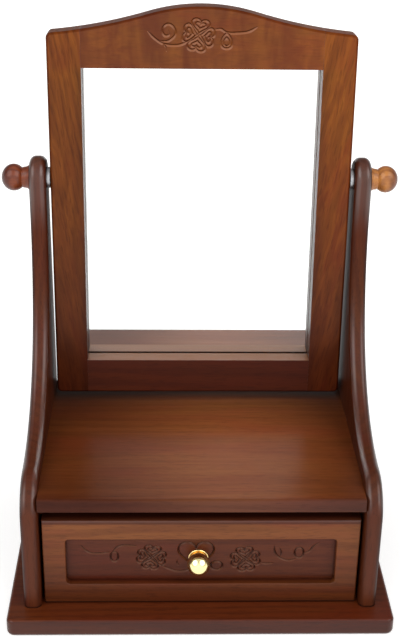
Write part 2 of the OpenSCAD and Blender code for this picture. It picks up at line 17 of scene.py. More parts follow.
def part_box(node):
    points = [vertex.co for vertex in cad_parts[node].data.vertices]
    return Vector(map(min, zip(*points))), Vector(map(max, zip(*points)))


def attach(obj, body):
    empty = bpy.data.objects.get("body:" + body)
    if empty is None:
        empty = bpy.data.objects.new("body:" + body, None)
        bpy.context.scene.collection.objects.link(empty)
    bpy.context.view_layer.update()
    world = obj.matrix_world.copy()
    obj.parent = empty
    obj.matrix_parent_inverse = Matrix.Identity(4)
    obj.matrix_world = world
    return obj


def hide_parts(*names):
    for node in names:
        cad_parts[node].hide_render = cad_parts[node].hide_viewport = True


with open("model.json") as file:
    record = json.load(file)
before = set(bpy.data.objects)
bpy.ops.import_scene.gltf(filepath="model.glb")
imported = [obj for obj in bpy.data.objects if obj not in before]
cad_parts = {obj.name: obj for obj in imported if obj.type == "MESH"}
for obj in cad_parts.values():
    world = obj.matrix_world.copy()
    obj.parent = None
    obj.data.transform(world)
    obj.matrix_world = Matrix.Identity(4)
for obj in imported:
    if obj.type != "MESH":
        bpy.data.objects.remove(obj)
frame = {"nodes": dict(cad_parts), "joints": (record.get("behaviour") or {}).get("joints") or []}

bl_info = {
    "name": "Makeup mirror",
    "version": (1, 0, 0),
    "blender": (4, 5, 0),
    "location": "View3D > Sidebar > Mirror",
    "description": "Dresses a table-top makeup mirror with a drawer",
    "category": "Object",
}

MM = 0.001
RIGHT = Vector((1, 0, 0))
UP = Vector((0, 0, 1))
SIDES = {"left": -1, "right": 1}

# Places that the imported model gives
BASE_LOW, BASE_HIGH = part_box("base_board")
PANEL_LOW, PANEL_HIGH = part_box("right_side_panel")
SHELF_LOW, SHELF_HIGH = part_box("top_board")
STILE_LOW, STILE_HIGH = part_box("right_stile")
FRONT_LOW, FRONT_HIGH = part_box("drawer_front")
DRAWER_SIDE_LOW, DRAWER_SIDE_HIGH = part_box("drawer_right_side")
DRAWER_BACK_LOW, DRAWER_BACK_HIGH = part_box("drawer_back")
DRAWER_BOTTOM_LOW, DRAWER_BOTTOM_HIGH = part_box("drawer_bottom")
PULL_LOW, PULL_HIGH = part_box("drawer_knob")
KNOB_LOW, KNOB_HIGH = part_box("right_knob")
STUD_LOW, STUD_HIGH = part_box("right_stud")
WASHER_LOW, WASHER_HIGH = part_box("right_washer")
SCREWS_LOW, SCREWS_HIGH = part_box("base_screws")
PIVOT = Vector(next(j["pos_m"] for j in frame["joints"] if j["name"] == "mirror_tilt"))


def length(name, description, millimetres):
    """A size that a user may change."""
    return FloatProperty(name=name, description=description, default=millimetres * MM,
                         min=0, unit="LENGTH", subtype="DISTANCE")


def angle(name, description, degrees):
    """An angle that a user may change."""
    return FloatProperty(name=name, description=description, default=math.radians(degrees),
                         unit="ROTATION", subtype="ANGLE")


def share(name, description, value):
    """A factor from 0 to 1 that a user may change."""
    return FloatProperty(name=name, description=description, default=value, min=0, max=1,
                         subtype="FACTOR")


def brightness(name, description, value):
    """The strength of a light that a user may change."""
    return FloatProperty(name=name, description=description, default=value, min=0)


def colour(name, description, value):
    """A colour that a user may change."""
    return FloatVectorProperty(name=name, description=description, default=value, size=3,
                               min=0, max=1, subtype="COLOR")


class StandSettings(bpy.types.PropertyGroup):
    """Sizes of the base, the side panels and the shelf."""
    base_corner: length("Base corner", "Radius of the base's corners, seen from above", 6)
    base_top_arris: length("Base top arris", "Round-over along the base's upper edges", 2.5)
    base_foot_arris: length("Base foot arris", "Round-over along the base's lower edges", 4)
    panel_arris: length("Panel arris", "Round-over along the side panels' arrises", 5)
    shoulder: length("Shoulder", "Radius of the panels' round shoulder", 33)
    shoulder_rise: length("Shoulder rise", "Height of the shoulder over the shelf", 11)
    sweep_end: length("Sweep end", "How far below the pivot the sweep runs out", 26)
    sweep_turn: angle("Sweep turn", "Turn of the lower, tighter part of the sweep", 66)
    shelf_arris: length("Shelf arris", "Round-over along the shelf's upper front edge", 2.5)
    screw_head: length("Screw head", "Diameter of the base screws' heads", 8)


class FrameSettings(bpy.types.PropertyGroup):
    """Sizes of the mirror frame, measured from the pivot."""
    lean: angle("Lean", "Lean of the frame from upright", 3.5)
    thickness: length("Thickness", "Thickness of the frame", 22)
    drop: length("Drop", "From the pivot down to the frame's lower edge", 186.5)
    opening_rise: length("Opening rise", "From the pivot up to the opening's upper edge", 90)
    foot_rail: length("Foot rail", "Width of the bottom rail", 30)
    crest_rail: length("Crest rail", "Width of the crest rail at its ends", 26.5)
    crest_rise: length("Crest rise", "Height of the dome over the crest rail's ends", 20.8)
    dome: length("Dome", "Radius of the dome", 150)
    flank: length("Flank", "Radius of the hollow flanks beside the dome", 400)
    corner: length("Corner", "Radius of the frame's corners", 4)
    arris: length("Arris", "Round-over along the frame's outer arrises", 2)
    ease: length("Ease", "Tiny round-over along the joints", 0.25)
    opening_arris: length("Opening arris", "Round-over along the rails at the opening", 0.8)
    lip: length("Lip", "Thickness of the wood in front of the glass", 15)
    rabbet: length("Rabbet", "Width of the rabbet that takes the glass", 6)
    glass: length("Glass", "Thickness of the glass", 3)
    glass_gap: length("Glass gap", "Gap around the glass in its rabbet", 0.5)
    glass_arris: length("Glass arris", "Ground arris around the glass's face", 0.4)
    silver_gap: length("Silver gap", "Gap between the silvering and the backing board", 0.05)


class DrawerSettings(bpy.types.PropertyGroup):
    """Sizes of the drawer."""
    arris: length("Arris", "Round-over along the front's upper and end arrises", 1.5)
    border: length("Border", "Border around the sunk field", 17.5)
    depth: length("Depth", "Depth of the sunk field", 6)
    corner: length("Corner", "Radius of the sunk field's corners", 3)
    field_arris: length("Field arris", "Round-over along the field's front arris", 0.9)
    ease: length("Ease", "Round-over along the edges of the drawer's boards", 0.8)
    groove: length("Groove", "Depth of the grooves that hold the bottom", 4)
    screw_hole: length("Screw hole", "Diameter of the hole for the knob's screw", 4.2)


class CarvingSettings(bpy.types.PropertyGroup):
    """Sizes of the engraved clovers and vines."""
    crest_width: length("Crest width", "Width of a line engraved in the crest", 2.8)
    drawer_width: length("Drawer width", "Width of a line engraved in the drawer front", 2.1)
    depth: length("Depth", "Depth of an engraved line", 1.1)
    tilt: share("Tilt", "How far an engraved line's lower wall is the wider one", 0.12)
    taper: length("Taper", "Length over which an open line thins out", 5)
    cuts: IntProperty(name="Cuts", description="Fineness of the mesh under the carving",
                      default=115, min=10, max=130)


class KnobSettings(bpy.types.PropertyGroup):
    """Sizes of the turned knobs and the washers."""
    neck: length("Neck", "Diameter of a side knob's neck", 17)
    foot: length("Foot", "Diameter of a side knob's foot", 20)
    groove_width: length("Groove width", "Width of the turned groove", 0.9)
    groove_depth: length("Groove depth", "Depth of the turned groove", 0.5)
    groove_floor: length("Groove floor", "Width of the turned groove's floor", 0.25)
    groove_ease: length("Groove ease", "Round-over along the turned groove's edge", 0.3)
    flatten: share("Flatten", "Length of a side knob's ball along its axis", 0.91)
    washer_ease: length("Washer ease", "Round-over along the washers' edges", 0.5)
    washer_play: length("Washer play", "Gap between a washer and its stud", 0.2)
    pull_ball: length("Drawer knob", "Diameter of the brass ball", 17.8)
    pull_neck: length("Drawer knob neck", "Diameter of the brass neck", 8)
    pull_rim: length("Drawer knob rim", "Diameter of the brass flange", 16)
    pull_flange: length("Drawer knob flange", "Thickness of the brass flange", 1.6)


class FinishSettings(bpy.types.PropertyGroup):
    """Colours of the finishes."""
    crest: colour("Crest stain", "Light tone of the mirror frame's stain", (0.134, 0.0358, 0.0052))
    foot: colour("Bottom rail stain", "Light tone of the bottom rail's stain",
                 (0.050, 0.0078, 0.0022))
    # Lighter tone painted on the ledge under the glass as the sheen of the light that falls on it
    ledge_sheen: colour("Ledge", "Tone of the worn ledge under the glass", (0.19, 0.080, 0.038))
    # Tone of the painted highlight on the carving's lower walls
    wear_and_highlight: colour("Worn stain", "Tone of the carving's worn edges", (0.255, 0.100, 0.046))
    panel: colour("Panel stain", "Light tone of the side panels' stain", (0.068, 0.0155, 0.0046))
    shelf: colour("Shelf stain", "Light tone of the shelf's stain", (0.196, 0.057, 0.0150))
    base: colour("Base stain", "Light tone of the base's stain", (0.082, 0.0154, 0.0032))
    front: colour("Drawer stain", "Light tone of the drawer front's stain", (0.138, 0.0412, 0.012))
    left_knob: colour("Left knob", "Stain of the left knob", (0.150, 0.028, 0.0076))
    right_knob: colour("Right knob", "Stain of the right knob", (0.365, 0.132, 0.035))
    bare: colour("Bare wood", "Tone of the wood that isn't stained", (0.52, 0.33, 0.17))
    board: colour("Backing board", "Tone of the board behind the glass", (0.16, 0.085, 0.045))
    brass: colour("Brass", "Colour of the polished brass", (0.90, 0.66, 0.30))
    worn_brass: colour("Worn brass", "Colour of the drawer knob's ball", (0.95, 0.81, 0.40))
    steel: colour("Steel", "Colour of the plated steel", (0.43, 0.435, 0.45))
    silver: colour("Silver", "Colour of the glass's silvering", (0.98, 0.985, 0.985))
    gloss: share("Lacquer roughness", "Roughness of the lacquer", 0.26)
    panel_gloss: share("Panel roughness", "Roughness of the side panels' lacquer", 0.33)


class StageSettings(bpy.types.PropertyGroup):
    """The floor, the lights and the camera."""
    floor: colour("Floor", "Colour of the floor", (0.85, 0.85, 0.845))
    floor_reach: FloatProperty(name="Floor reach", description="Half the floor's width",
                               default=100, min=1, unit="LENGTH", subtype="DISTANCE")
    floor_glow: brightness("Floor glow", "Light that comes up through the floor", 0.45)
    front_light: brightness("Front light", "The room's light from the front", 1.6)
    back_light: brightness("Back light", "The room's light from the sides and behind", 0.22)
    horizon: brightness("Horizon", "The pale backdrop at the horizon", 1.0)
    ceiling: brightness("Ceiling", "The room's light from straight above", 0.6)
    key_light: brightness("Key lights", "Each soft light from above", 1.6)
    key_spread: angle("Key spread", "Width of each key light, as seen from the mirror", 50)
    camera_at: FloatVectorProperty(name="Camera", description="Place of the camera",
                                   default=(-0.02677, -0.85494, 0.62891), size=3,
                                   unit="LENGTH", subtype="TRANSLATION")
    yaw: angle("Yaw", "Turn of the camera to the right", 1.71)
    pitch: angle("Pitch", "How far the camera looks down", 25.49)
    roll: angle("Roll", "Roll of the camera", 0.89)
    lens: FloatProperty(name="Lens", description="Focal length of the camera",
                        default=68.75, min=1, unit="CAMERA")


class MirrorSettings(bpy.types.PropertyGroup):
    """All the settings of the mirror."""
    stand: PointerProperty(type=StandSettings)
    frame: PointerProperty(type=FrameSettings)
    drawer: PointerProperty(type=DrawerSettings)
    carving: PointerProperty(type=CarvingSettings)
    knobs: PointerProperty(type=KnobSettings)
    finish: PointerProperty(type=FinishSettings)
    stage: PointerProperty(type=StageSettings)


# Outlines

# How closely shapes are drawn, and how far apart points may be that count as one
CHORD_GAP = 0.02 * MM
WELD = 0.01 * MM
SAME = 0.005 * MM
HAIR = 0.001 * MM


def arc_steps(radius, turn):
    """Steps around an arc so that no chord cuts off more than the chord gap."""
    widest = 2 * math.acos(1 - CHORD_GAP / radius)
    return max(2, math.ceil(abs(turn) / widest))


def line_to(bm, vert, point):
    """Runs an outline straight on to a point and returns its new end."""
    end = bmesh.ops.extrude_vert_indiv(bm, verts=[vert])["verts"][0]
    bmesh.ops.translate(bm, verts=[end], vec=Vector(point) - end.co)
    return end


def arc_to(bm, vert, centre, turn, axis=UP):
    """Runs an outline on around a centre and returns its new end."""
    centre = Vector(centre)
    steps = arc_steps((vert.co - centre).length, turn)
    spun = bmesh.ops.spin(bm, geom=[vert], cent=centre, axis=axis, angle=turn, steps=steps)
    return next(g for g in spun["geom_last"] if isinstance(g, bmesh.types.BMVert))


def trace(bm, start, moves, axis=UP):
    """Draws an outline of ("line", point) and ("arc", centre, turn) moves."""
    end = bmesh.ops.create_vert(bm, co=start)["vert"][0]
    for kind, *values in moves:
        end = line_to(bm, end, *values) if kind == "line" else arc_to(bm, end, *values, axis)
    return end


def closed_face(bm):
    """Fills the one closed outline in the mesh."""
    bmesh.ops.remove_doubles(bm, verts=bm.verts, dist=WELD)
    return bmesh.ops.edgeloop_fill(bm, edges=bm.edges)["faces"][0]


def extrude(bm, face, by):
    """Extrudes a face into a closed board."""
    made = bmesh.ops.extrude_face_region(bm, geom=[face])["geom"]
    verts = [g for g in made if isinstance(g, bmesh.types.BMVert)]
    bmesh.ops.translate(bm, verts=verts, vec=by)
    bmesh.ops.recalc_face_normals(bm, faces=bm.faces)


def box_mesh(low, high):
    """A mesh of one box."""
    bm = bmesh.new()
    size = Vector(high) - Vector(low)
    bmesh.ops.create_cube(bm, size=1)
    bmesh.ops.scale(bm, verts=bm.verts, vec=size)
    bmesh.ops.translate(bm, verts=bm.verts, vec=(Vector(low) + Vector(high)) / 2)
    return bm


def edges_where(bm, test):
    """The edges whose two ends both pass a test."""
    return [e for e in bm.edges if all(test(v.co) for v in e.verts)]


def near(a, b):
    """Whether two places along an axis are the same."""
    return abs(a - b) < SAME


def round_over(bm, edges, radius, segments=6):
    """Rounds edges as a router does."""
    bmesh.ops.bevel(bm, geom=edges, offset=radius, offset_type="OFFSET", affect="EDGES",
                    segments=segments, profile=0.5, material=-1)


def loose_edges(bm):
    """The edges with a face on one side only, or on none."""
    return [e for e in bm.edges if len(e.link_faces) < 2]


# Pieces

# The turn from which an edge shows as a corner, and how far cutters reach past the wood
SHARP_TURN = math.radians(50)
PAST = 1 * MM


def finish_piece(bm, name, body, material, nodes, place=None):
    """Turns a mesh into a named piece that rides on a body and stands for CAD nodes."""
    shade(bm)
    if place:
        bmesh.ops.transform(bm, matrix=place, verts=bm.verts)
    piece = as_object(bm, name)
    piece.data.materials.append(material)
    even = piece.modifiers.new("even_shading", "WEIGHTED_NORMAL")
    even.keep_sharp = True
    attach(piece, body)
    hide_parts(*nodes)
    return piece


def shade(bm):
    """Shades a mesh smooth apart from its corners, with faces that point outwards."""
    bmesh.ops.recalc_face_normals(bm, faces=bm.faces)
    for face in bm.faces:
        face.smooth = True
    for edge in bm.edges:
        edge.smooth = len(edge.link_faces) == 2 and edge.calc_face_angle() < SHARP_TURN


def in_plane(lean, at):
    """Places a shape drawn across and up, with its face towards +Z, upright in the frame."""
    return Matrix.Translation(at) @ Matrix.Rotation(math.pi / 2 - lean, 4, "X")


def as_object(bm, name):
    """Hands a mesh over to a new object in the scene."""
    bmesh.ops.recalc_face_normals(bm, faces=bm.faces)
    mesh = bpy.data.meshes.new(name)
    bm.to_mesh(mesh)
    bm.free()
    made = bpy.data.objects.new(name, mesh)
    bpy.context.scene.collection.objects.link(made)
    return made


def cut(bm, *cutters):
    """The mesh that is left when the cutter meshes are taken out of a piece."""
    work = as_object(bm, "workpiece")
    tools = [as_object(cutter, "cutter") for cutter in cutters]
    for tool in tools:
        step = work.modifiers.new(tool.name, "BOOLEAN")
        step.operation = "DIFFERENCE"
        step.solver = "EXACT"
        step.object = tool
    left = bmesh.new()
    left.from_object(work, bpy.context.evaluated_depsgraph_get())
    for mesh in [made.data for made in (work, *tools)]:
        bpy.data.meshes.remove(mesh)
    return left


def cylinder_mesh(start, along, radius, depth):
    """A mesh of one straight pin that runs from a start point."""
    bm = bmesh.new()
    bmesh.ops.create_cone(bm, cap_ends=True, segments=32, radius1=radius, radius2=radius,
                          depth=depth)
    bmesh.ops.translate(bm, verts=bm.verts, vec=(0, 0, depth / 2))
    turn = UP.rotation_difference(Vector(along)).to_matrix()
    bmesh.ops.rotate(bm, verts=bm.verts, matrix=turn)
    bmesh.ops.translate(bm, verts=bm.verts, vec=start)
    return bm


def lathe(bm, centre, axis, steps=64):
    """Turns the profile in the mesh all the way around an axis."""
    bmesh.ops.spin(bm, geom=bm.verts[:] + bm.edges[:], cent=centre, axis=axis,
                   angle=math.tau, steps=steps, use_merge=True)
    bmesh.ops.remove_doubles(bm, verts=bm.verts, dist=2 * HAIR)
    bmesh.ops.dissolve_degenerate(bm, edges=bm.edges, dist=HAIR)


# Carving

def smooth_run(points, per_stretch=14):
    """A smooth line through given points."""
    padded = [points[0], *points, points[-1]]
    run = []
    for a, b, c, d in zip(padded, padded[1:], padded[2:], padded[3:]):
        a, b, c, d = (Vector(p) for p in (a, b, c, d))
        for i in range(per_stretch):
            t = i / per_stretch
            run.append(0.5 * (2 * b + (c - a) * t + (2 * a - 5 * b + 4 * c - d) * t ** 2
                              + (3 * b - a - 3 * c + d) * t ** 3))
    return run + [Vector(points[-1])]


def heart(tip, size, turn, spread=1.0, steps=72):
    """A heart with its tip at a point and its lobes a size away from it."""
    # The common heart curve, which is 29 units from its tip to its lobes
    run = []
    for i in range(steps + 1):
        t = math.tau * i / steps
        across = 16 * math.sin(t) ** 3 * spread
        out = 17 + 13 * math.cos(t) - 5 * math.cos(2 * t) - 2 * math.cos(3 * t) - math.cos(4 * t)
        run.append(Vector(tip) + Matrix.Rotation(turn, 2) @ Vector((across, out)) * size / 29)
    return run


def oval(centre, half_width, half_height, point=0.0, steps=48):
    """An oval, drawn out to a point at its top by the point value."""
    run = []
    for i in range(steps + 1):
        t = math.tau * i / steps
        across = half_width * math.sin(t) * math.sin(t / 2) ** point
        run.append(Vector(centre) + Vector((across, half_height * math.cos(t))))
    return run


def clover(centre, size, turn):
    """Four heart-shaped leaves, each with a smaller heart inside."""
    lines = []
    for quarter in range(4):
        way = turn + quarter * math.tau / 4
        out = Matrix.Rotation(way, 2) @ Vector((0, 1))
        lines.append(heart(Vector(centre) + out * size * 0.06, size * 0.94, way, 1.12))
        lines.append(heart(Vector(centre) + out * size * 0.38, size * 0.40, way, 1.45))
    return lines


# The crest's ornament, in millimetres across and up from the pivot, and the lines that
# part the carved stretch into square tiles
CREST_CLOVER = ((-3.1, 115.9), 12.0, math.radians(-11))
CREST_VINES = [
    [(-42.2, 118.7), (-36.8, 113.3), (-29.7, 109.1), (-20.3, 108.2), (-13.3, 110.2), (-6.4, 114.4)],
    [(-32.9, 111.0), (-26.6, 111.5), (-22.0, 115.0), (-20.8, 118.8), (-23.2, 122.9),
     (-26.8, 124.3), (-30.1, 122.2), (-30.9, 118.4), (-28.8, 115.4), (-25.9, 116.2),
     (-26.2, 119.2)],
    [(-29.7, 108.7), (-28.3, 106.4), (-27.8, 103.7)],
    [(9.3, 120.2), (14.0, 120.7), (17.9, 118.4), (22.6, 117.9), (30.4, 118.3), (35.9, 119.4),
     (41.7, 122.5)],
]
CREST_OVALS = [((18.5, 111.8), 5.4, 5.8, 0.8), ((18.5, 111.0), 2.6, 3.2, 0.6)]
CREST_SCORES = ((-46, -17, 14, 46), (99.5, 128, 132.8))

# The drawer's ornament, in millimetres across and up from the base's underside
DRAWER_CLOVERS = [((-38.4, 53.8), 11.0, math.radians(-8)), ((34.6, 52.0), 11.2, math.radians(6))]
DRAWER_VINES = [
    [(-92.8, 65.2), (-89.2, 60.6), (-85.1, 58.2), (-78.0, 57.8), (-70.4, 58.8)],
    [(-68.3, 59.5), (-64.0, 64.1), (-58.2, 65.4), (-49.8, 64.4)],
    [(-30.2, 45.6), (-25.5, 43.4), (-18.7, 40.8), (-12.0, 41.2), (-6.0, 43.6)],
    [(-18.1, 51.0), (-18.4, 48.6), (-17.1, 46.6)],
    [(46.4, 48.8), (50.5, 47.6), (56.2, 48.2)],
    [(56.9, 64.3), (57.2, 59.6), (60.2, 54.2), (67.7, 50.7), (74.0, 52.2)],
    [(60.9, 62.2), (62.4, 58.2), (61.8, 54.6)],
    [(79.8, 57.2), (84.3, 59.5), (87.6, 64.2), (91.5, 67.1)],
]
DRAWER_OVALS = [((-67.1, 54.6), 2.9, 4.6), ((12.2, 46.0), 4.6, 4.0), ((76.3, 57.9), 3.5, 4.8)]
DRAWER_HEART = ((-3.8, 43.4), 24.8, 0.0)
DRAWER_SCORES = ((-98, -59, -20, 19, 58, 98), (35.5, 71.5))


def crest_lines():
    """The engraved lines of the crest rail."""
    return ([smooth_run(vine) for vine in CREST_VINES] + clover(*CREST_CLOVER)
            + [oval(*values) for values in CREST_OVALS])


def drawer_lines():
    """The engraved lines of the drawer front."""
    lines = [smooth_run(vine) for vine in DRAWER_VINES] + [heart(*DRAWER_HEART)]
    for values in DRAWER_CLOVERS:
        lines += clover(*values)
    return lines + [oval(*values) for values in DRAWER_OVALS]


# Gap between the points of a cutter's track, share of the full cut at an open line's ends,
# and share of the width where the cut runs out
TRACK_STEP = 0.1 * MM
END_CUT = 0.35
END_WIDTH = 0.6


def cutter_track(lines, carving):
    """Close points along the engraved lines, and how much of the full cut each takes."""
    points, shares = [], []
    for line in lines:
        line = [p * MM for p in line]
        gaps = [(b - a).length for a, b in zip(line, line[1:])]
        total, gone = sum(gaps), 0.0
        is_open = (line[0] - line[-1]).length > TRACK_STEP
        for a, b, gap in zip(line, line[1:], gaps):
            steps = max(1, math.ceil(gap / TRACK_STEP))
            for i in range(steps):
                points.append(a.lerp(b, i / steps))
                run = gone + gap * i / steps
                end = min(run, total - run) / carving.taper
                shares.append(min(1.0, END_CUT + (1 - END_CUT) * end) if is_open else 1.0)
            gone += gap
    return points, shares


def front_face(bm):
    """The largest face that looks along +Z."""
    bm.normal_update()
    return max((f for f in bm.faces if f.normal.z > 0.99), key=lambda f: f.calc_area())


def slice_face(bm, faces, at, way):
    """Scores faces along a plane and returns the faces that they become."""
    geom = list({v for f in faces for v in f.verts} | {e for f in faces for e in f.edges})
    made = bmesh.ops.bisect_plane(bm, geom=geom + faces, dist=HAIR, plane_co=at, plane_no=way)
    return [g for g in made["geom"] if isinstance(g, bmesh.types.BMFace)]


def close_grid(bm, face, scores, cuts):
    """Scores a face across and up, then fills each square tile with a close grid."""
    level = face.calc_center_median().z
    faces = [face]
    for axis, stops in enumerate(scores):
        way = Vector((axis == 0, axis == 1, 0))
        for stop in stops:
            faces = slice_face(bm, faces, way * stop * MM + UP * level, way)
    (left, *_, right), (low, *_, high) = scores
    tiles = []
    for part in faces:
        x, y, _ = part.calc_center_median() / MM
        if len(part.verts) == 4 and left < x < right and low < y < high:
            tiles.append(part)
    edges = list({e for tile in tiles for e in tile.edges})
    made = bmesh.ops.subdivide_edges(bm, edges=edges, cuts=cuts, use_grid_fill=True)
    return [g for g in made["geom_inner"] if isinstance(g, bmesh.types.BMVert)]


def engrave(bm, scores, lines, width, carving):
    """Lays a close grid into the largest front face and sinks it along the engraved lines.

    The layer "cut" runs from -1 on the lines' upper walls to 1 on their lower walls; the carving's
    painted shade and highlight follow it.
    """
    mark = bm.verts.layers.float.new("cut")
    grid = close_grid(bm, front_face(bm), scores, carving.cuts)
    points, shares = cutter_track(lines, carving)
    tree = kdtree.KDTree(len(points))
    for number, point in enumerate(points):
        tree.insert((point.x, point.y, 0), number)
    tree.balance()
    for vert in grid:
        point, number, away = tree.find((vert.co.x, vert.co.y, 0))
        above = (vert.co.y - point.y) / max(away, HAIR)
        narrowed = END_WIDTH + (1 - END_WIDTH) * shares[number]
        reach = width * (0.5 - carving.tilt * above) * narrowed
        if away < reach:
            sunk = shares[number] * (1 - away / reach)
            vert.co.z -= carving.depth * sunk
            # A wall is marked in full from a third of the depth on
            vert[mark] = -above * min(1.0, 3 * sunk)


# Materials

def new_tree(name):
    """A new node material and its principled shader."""
    material = bpy.data.materials.new(name)
    material.use_nodes = True
    return material, material.node_tree, material.node_tree.nodes["Principled BSDF"]


def add(tree, kind, inputs=(), **settings):
    """Adds a node with its settings and its inputs, which are values or sockets."""
    made = tree.nodes.new("ShaderNode" + kind)
    for name, value in settings.items():
        setattr(made, name, value)
    for socket, value in dict(inputs).items():
        if isinstance(value, bpy.types.NodeSocket):
            tree.links.new(value, made.inputs[socket])
        else:
            made.inputs[socket].default_value = value
    return made


def sums(tree, operation, *values):
    """The result of one step of arithmetic."""
    return add(tree, "Math", enumerate(values), operation=operation).outputs[0]


def object_place(tree):
    """Object coordinates."""
    return add(tree, "TexCoord").outputs["Object"]


def places(tree):
    """Object coordinates along X, Y and Z."""
    return add(tree, "SeparateXYZ", {"Vector": object_place(tree)}).outputs


def grain_space(tree, turn, heart, stretch):
    """Object coordinates from the tree's heart, with the grain along X and drawn out."""
    from_heart = add(tree, "VectorMath", {0: object_place(tree), 1: heart},
                     operation="SUBTRACT").outputs[0]
    turned = add(tree, "Mapping", {"Vector": from_heart, "Rotation": turn}).outputs[0]
    return add(tree, "Mapping", {"Vector": turned, "Scale": (stretch, 1, 1)}).outputs[0]


def noise(tree, vector, scale, detail=2.0, roughness=0.5, distortion=0.0):
    """A noise value."""
    return add(tree, "TexNoise", {"Vector": vector, "Scale": scale, "Detail": detail,
                                  "Roughness": roughness, "Distortion": distortion}).outputs["Fac"]


def between(tree, value, low, high, to_low=0.0, to_high=1.0):
    """A value stretched from one range to another, with soft ends."""
    return add(tree, "MapRange", {"Value": value, "From Min": low, "From Max": high,
                                  "To Min": to_low, "To Max": to_high},
               interpolation_type="SMOOTHSTEP").outputs[0]


def growth_rings(tree, grain, ring, wander, detail, fineness, profile):
    """Growth rings around the tree's heart, whose width is given in millimetres."""
    # At a scale of 1 the rings of a wave texture are tau / 20 wide
    return add(tree, "TexWave", {
        "Vector": grain, "Scale": math.tau / (20 * ring * MM), "Distortion": wander,
        "Detail": detail, "Detail Scale": fineness,
    }, wave_type="RINGS", rings_direction="X", wave_profile=profile).outputs["Fac"]


def scaled(tone, *shares):
    """A tone of which only some shares of red, green and blue are left."""
    return Vector(value * kept for value, kept in zip(tone, shares))


def blend(tree, amount, first, second, how="MIX"):
    """Two colours mixed."""
    mixed = add(tree, "Mix", {0: amount}, data_type="RGBA", blend_type=how)
    for socket, value in ((6, first), (7, second)):
        if isinstance(value, bpy.types.NodeSocket):
            tree.links.new(value, mixed.inputs[socket])
        else:
            mixed.inputs[socket].default_value = (*value, 1)
    return mixed.outputs[2]


# Turns that bring the grain of a piece onto X
ALONG_X = (0, 0, 0)
ALONG_Y = (0, 0, -math.pi / 2)
ALONG_Z = (0, math.pi / 2, 0)

# Scales along the grain of the fine streaks and the pores, against 1 across it
STREAK_STRETCH = 0.03
PORE_STRETCH = 0.1


def stained_wood(name, tone, turn, heart, ring=7.0, wander=14.0, figure=0.16, depth=0.4,
                 streaks=0.26, flame=0.0, curl=0.0, pores=0.3, gloss=0.22, coat=0.2,
                 shine=0.12, warm=0.6, deepen=None, glaze_and_painted_light=None):
    """A stained and lacquered wood.

    tone: colour of the early wood
    turn: turn that brings the grain onto X
    heart: where the tree's heart lies beside the piece
    ring: width of a growth ring, in millimetres
    wander: how far the rings stray from true circles
    figure: how short the figure is along the grain
    depth, streaks, pores: how dark the late wood, the fine streaks and the pores are
    flame: how light the broad flames along the grain are
    curl: how strong the bands across the grain are
    warm: how far the tone drifts to gold and red
    gloss, coat: roughness and weight of the lacquer
    shine: how much the stain itself reflects
    deepen: axis, start, end and shares of a stain that deepens along the piece
    glaze: function of the node tree, the stain and its darkest tone that lays glaze and painted
    light and shade over it
    """
    material, tree, shader = new_tree(name)
    light = Vector(tone)
    dark = scaled(tone, 0.46, 0.38, 0.38)
    golden = scaled(tone, 1.12, 1.28, 0.95)
    red = scaled(tone, 0.98, 0.66, 0.9)
    grain = grain_space(tree, turn, heart, figure)
    fibre = grain_space(tree, turn, heart, STREAK_STRETCH)
    dash = grain_space(tree, turn, heart, PORE_STRETCH)
    rings = growth_rings(tree, grain, ring, wander, detail=2.5, fineness=0.35, profile="SIN")
    drift = noise(tree, grain, scale=26, detail=3.0, roughness=0.55, distortion=0.6)
    patch = noise(tree, grain, scale=45, distortion=0.8)
    streak = noise(tree, fibre, scale=320, detail=4.0, roughness=0.7)
    pore = between(tree, noise(tree, dash, scale=900, detail=1.0), 0.54, 0.68)
    body = blend(tree, between(tree, drift, 0.40, 0.62, 0, warm), light, golden)
    body = blend(tree, between(tree, patch, 0.40, 0.72, 0, warm), body, red)
    if flame:
        tongue = noise(tree, grain, scale=120, roughness=0.55, distortion=1.4)
        body = blend(tree, between(tree, tongue, 0.42, 0.68, 0, flame), body,
                     scaled(tone, 1.55, 1.75, 1.3))
    if curl:
        across = add(tree, "Mapping", {"Vector": grain_space(tree, turn, heart, 1.0),
                                       "Scale": (1, 0.22, 0.22)}).outputs[0]
        band = noise(tree, across, scale=55, detail=3.0, roughness=0.55, distortion=0.4)
        body = blend(tree, between(tree, band, 0.38, 0.68, 0, curl), body, red * 0.62)
    late = sums(tree, "MULTIPLY", between(tree, rings, 0.30, 1.0),
                between(tree, patch, 0.3, 0.7, depth, depth * 0.4))
    body = blend(tree, late, body, dark)
    body = blend(tree, between(tree, streak, 0.35, 0.72, 0, streaks), body, dark)
    body = blend(tree, sums(tree, "MULTIPLY", pore, pores), body, dark * 0.55)
    if deepen:
        body = deeper(tree, body, *deepen)
    # Glaze and painted light and shade laid over the stain
    if glaze_and_painted_light:
        body = glaze_and_painted_light(tree, body, dark * 0.3)
    tree.links.new(body, shader.inputs["Base Color"])
    rough = between(tree, streak, 0.2, 0.8, gloss + 0.13, gloss + 0.22)
    tree.links.new(rough, shader.inputs["Roughness"])
    relief = sums(tree, "ADD", sums(tree, "MULTIPLY", pore, -0.8),
                  sums(tree, "MULTIPLY", streak, 0.5))
    bump = add(tree, "Bump", {"Strength": 0.18, "Distance": 0.1 * MM, "Height": relief})
    tree.links.new(bump.outputs[0], shader.inputs["Normal"])
    shader.inputs["Specular IOR Level"].default_value = shine
    shader.inputs["Coat Weight"].default_value = coat
    shader.inputs["Coat Roughness"].default_value = gloss
    return material


def deeper(tree, body, axis, start, end, shares):
    """A colour that deepens along an axis, until only its shares of light are left."""
    amount = add(tree, "MapRange", {"Value": places(tree)[axis], "From Min": start,
                                    "From Max": end}).outputs[0]
    return blend(tree, amount, body, shares, "MULTIPLY")


def shade_past(tree, body, value, start, end, shares):
    """A colour that keeps only its shares of light where a value runs from start to end."""
    return blend(tree, between(tree, value, start, end), body, shares, "MULTIPLY")


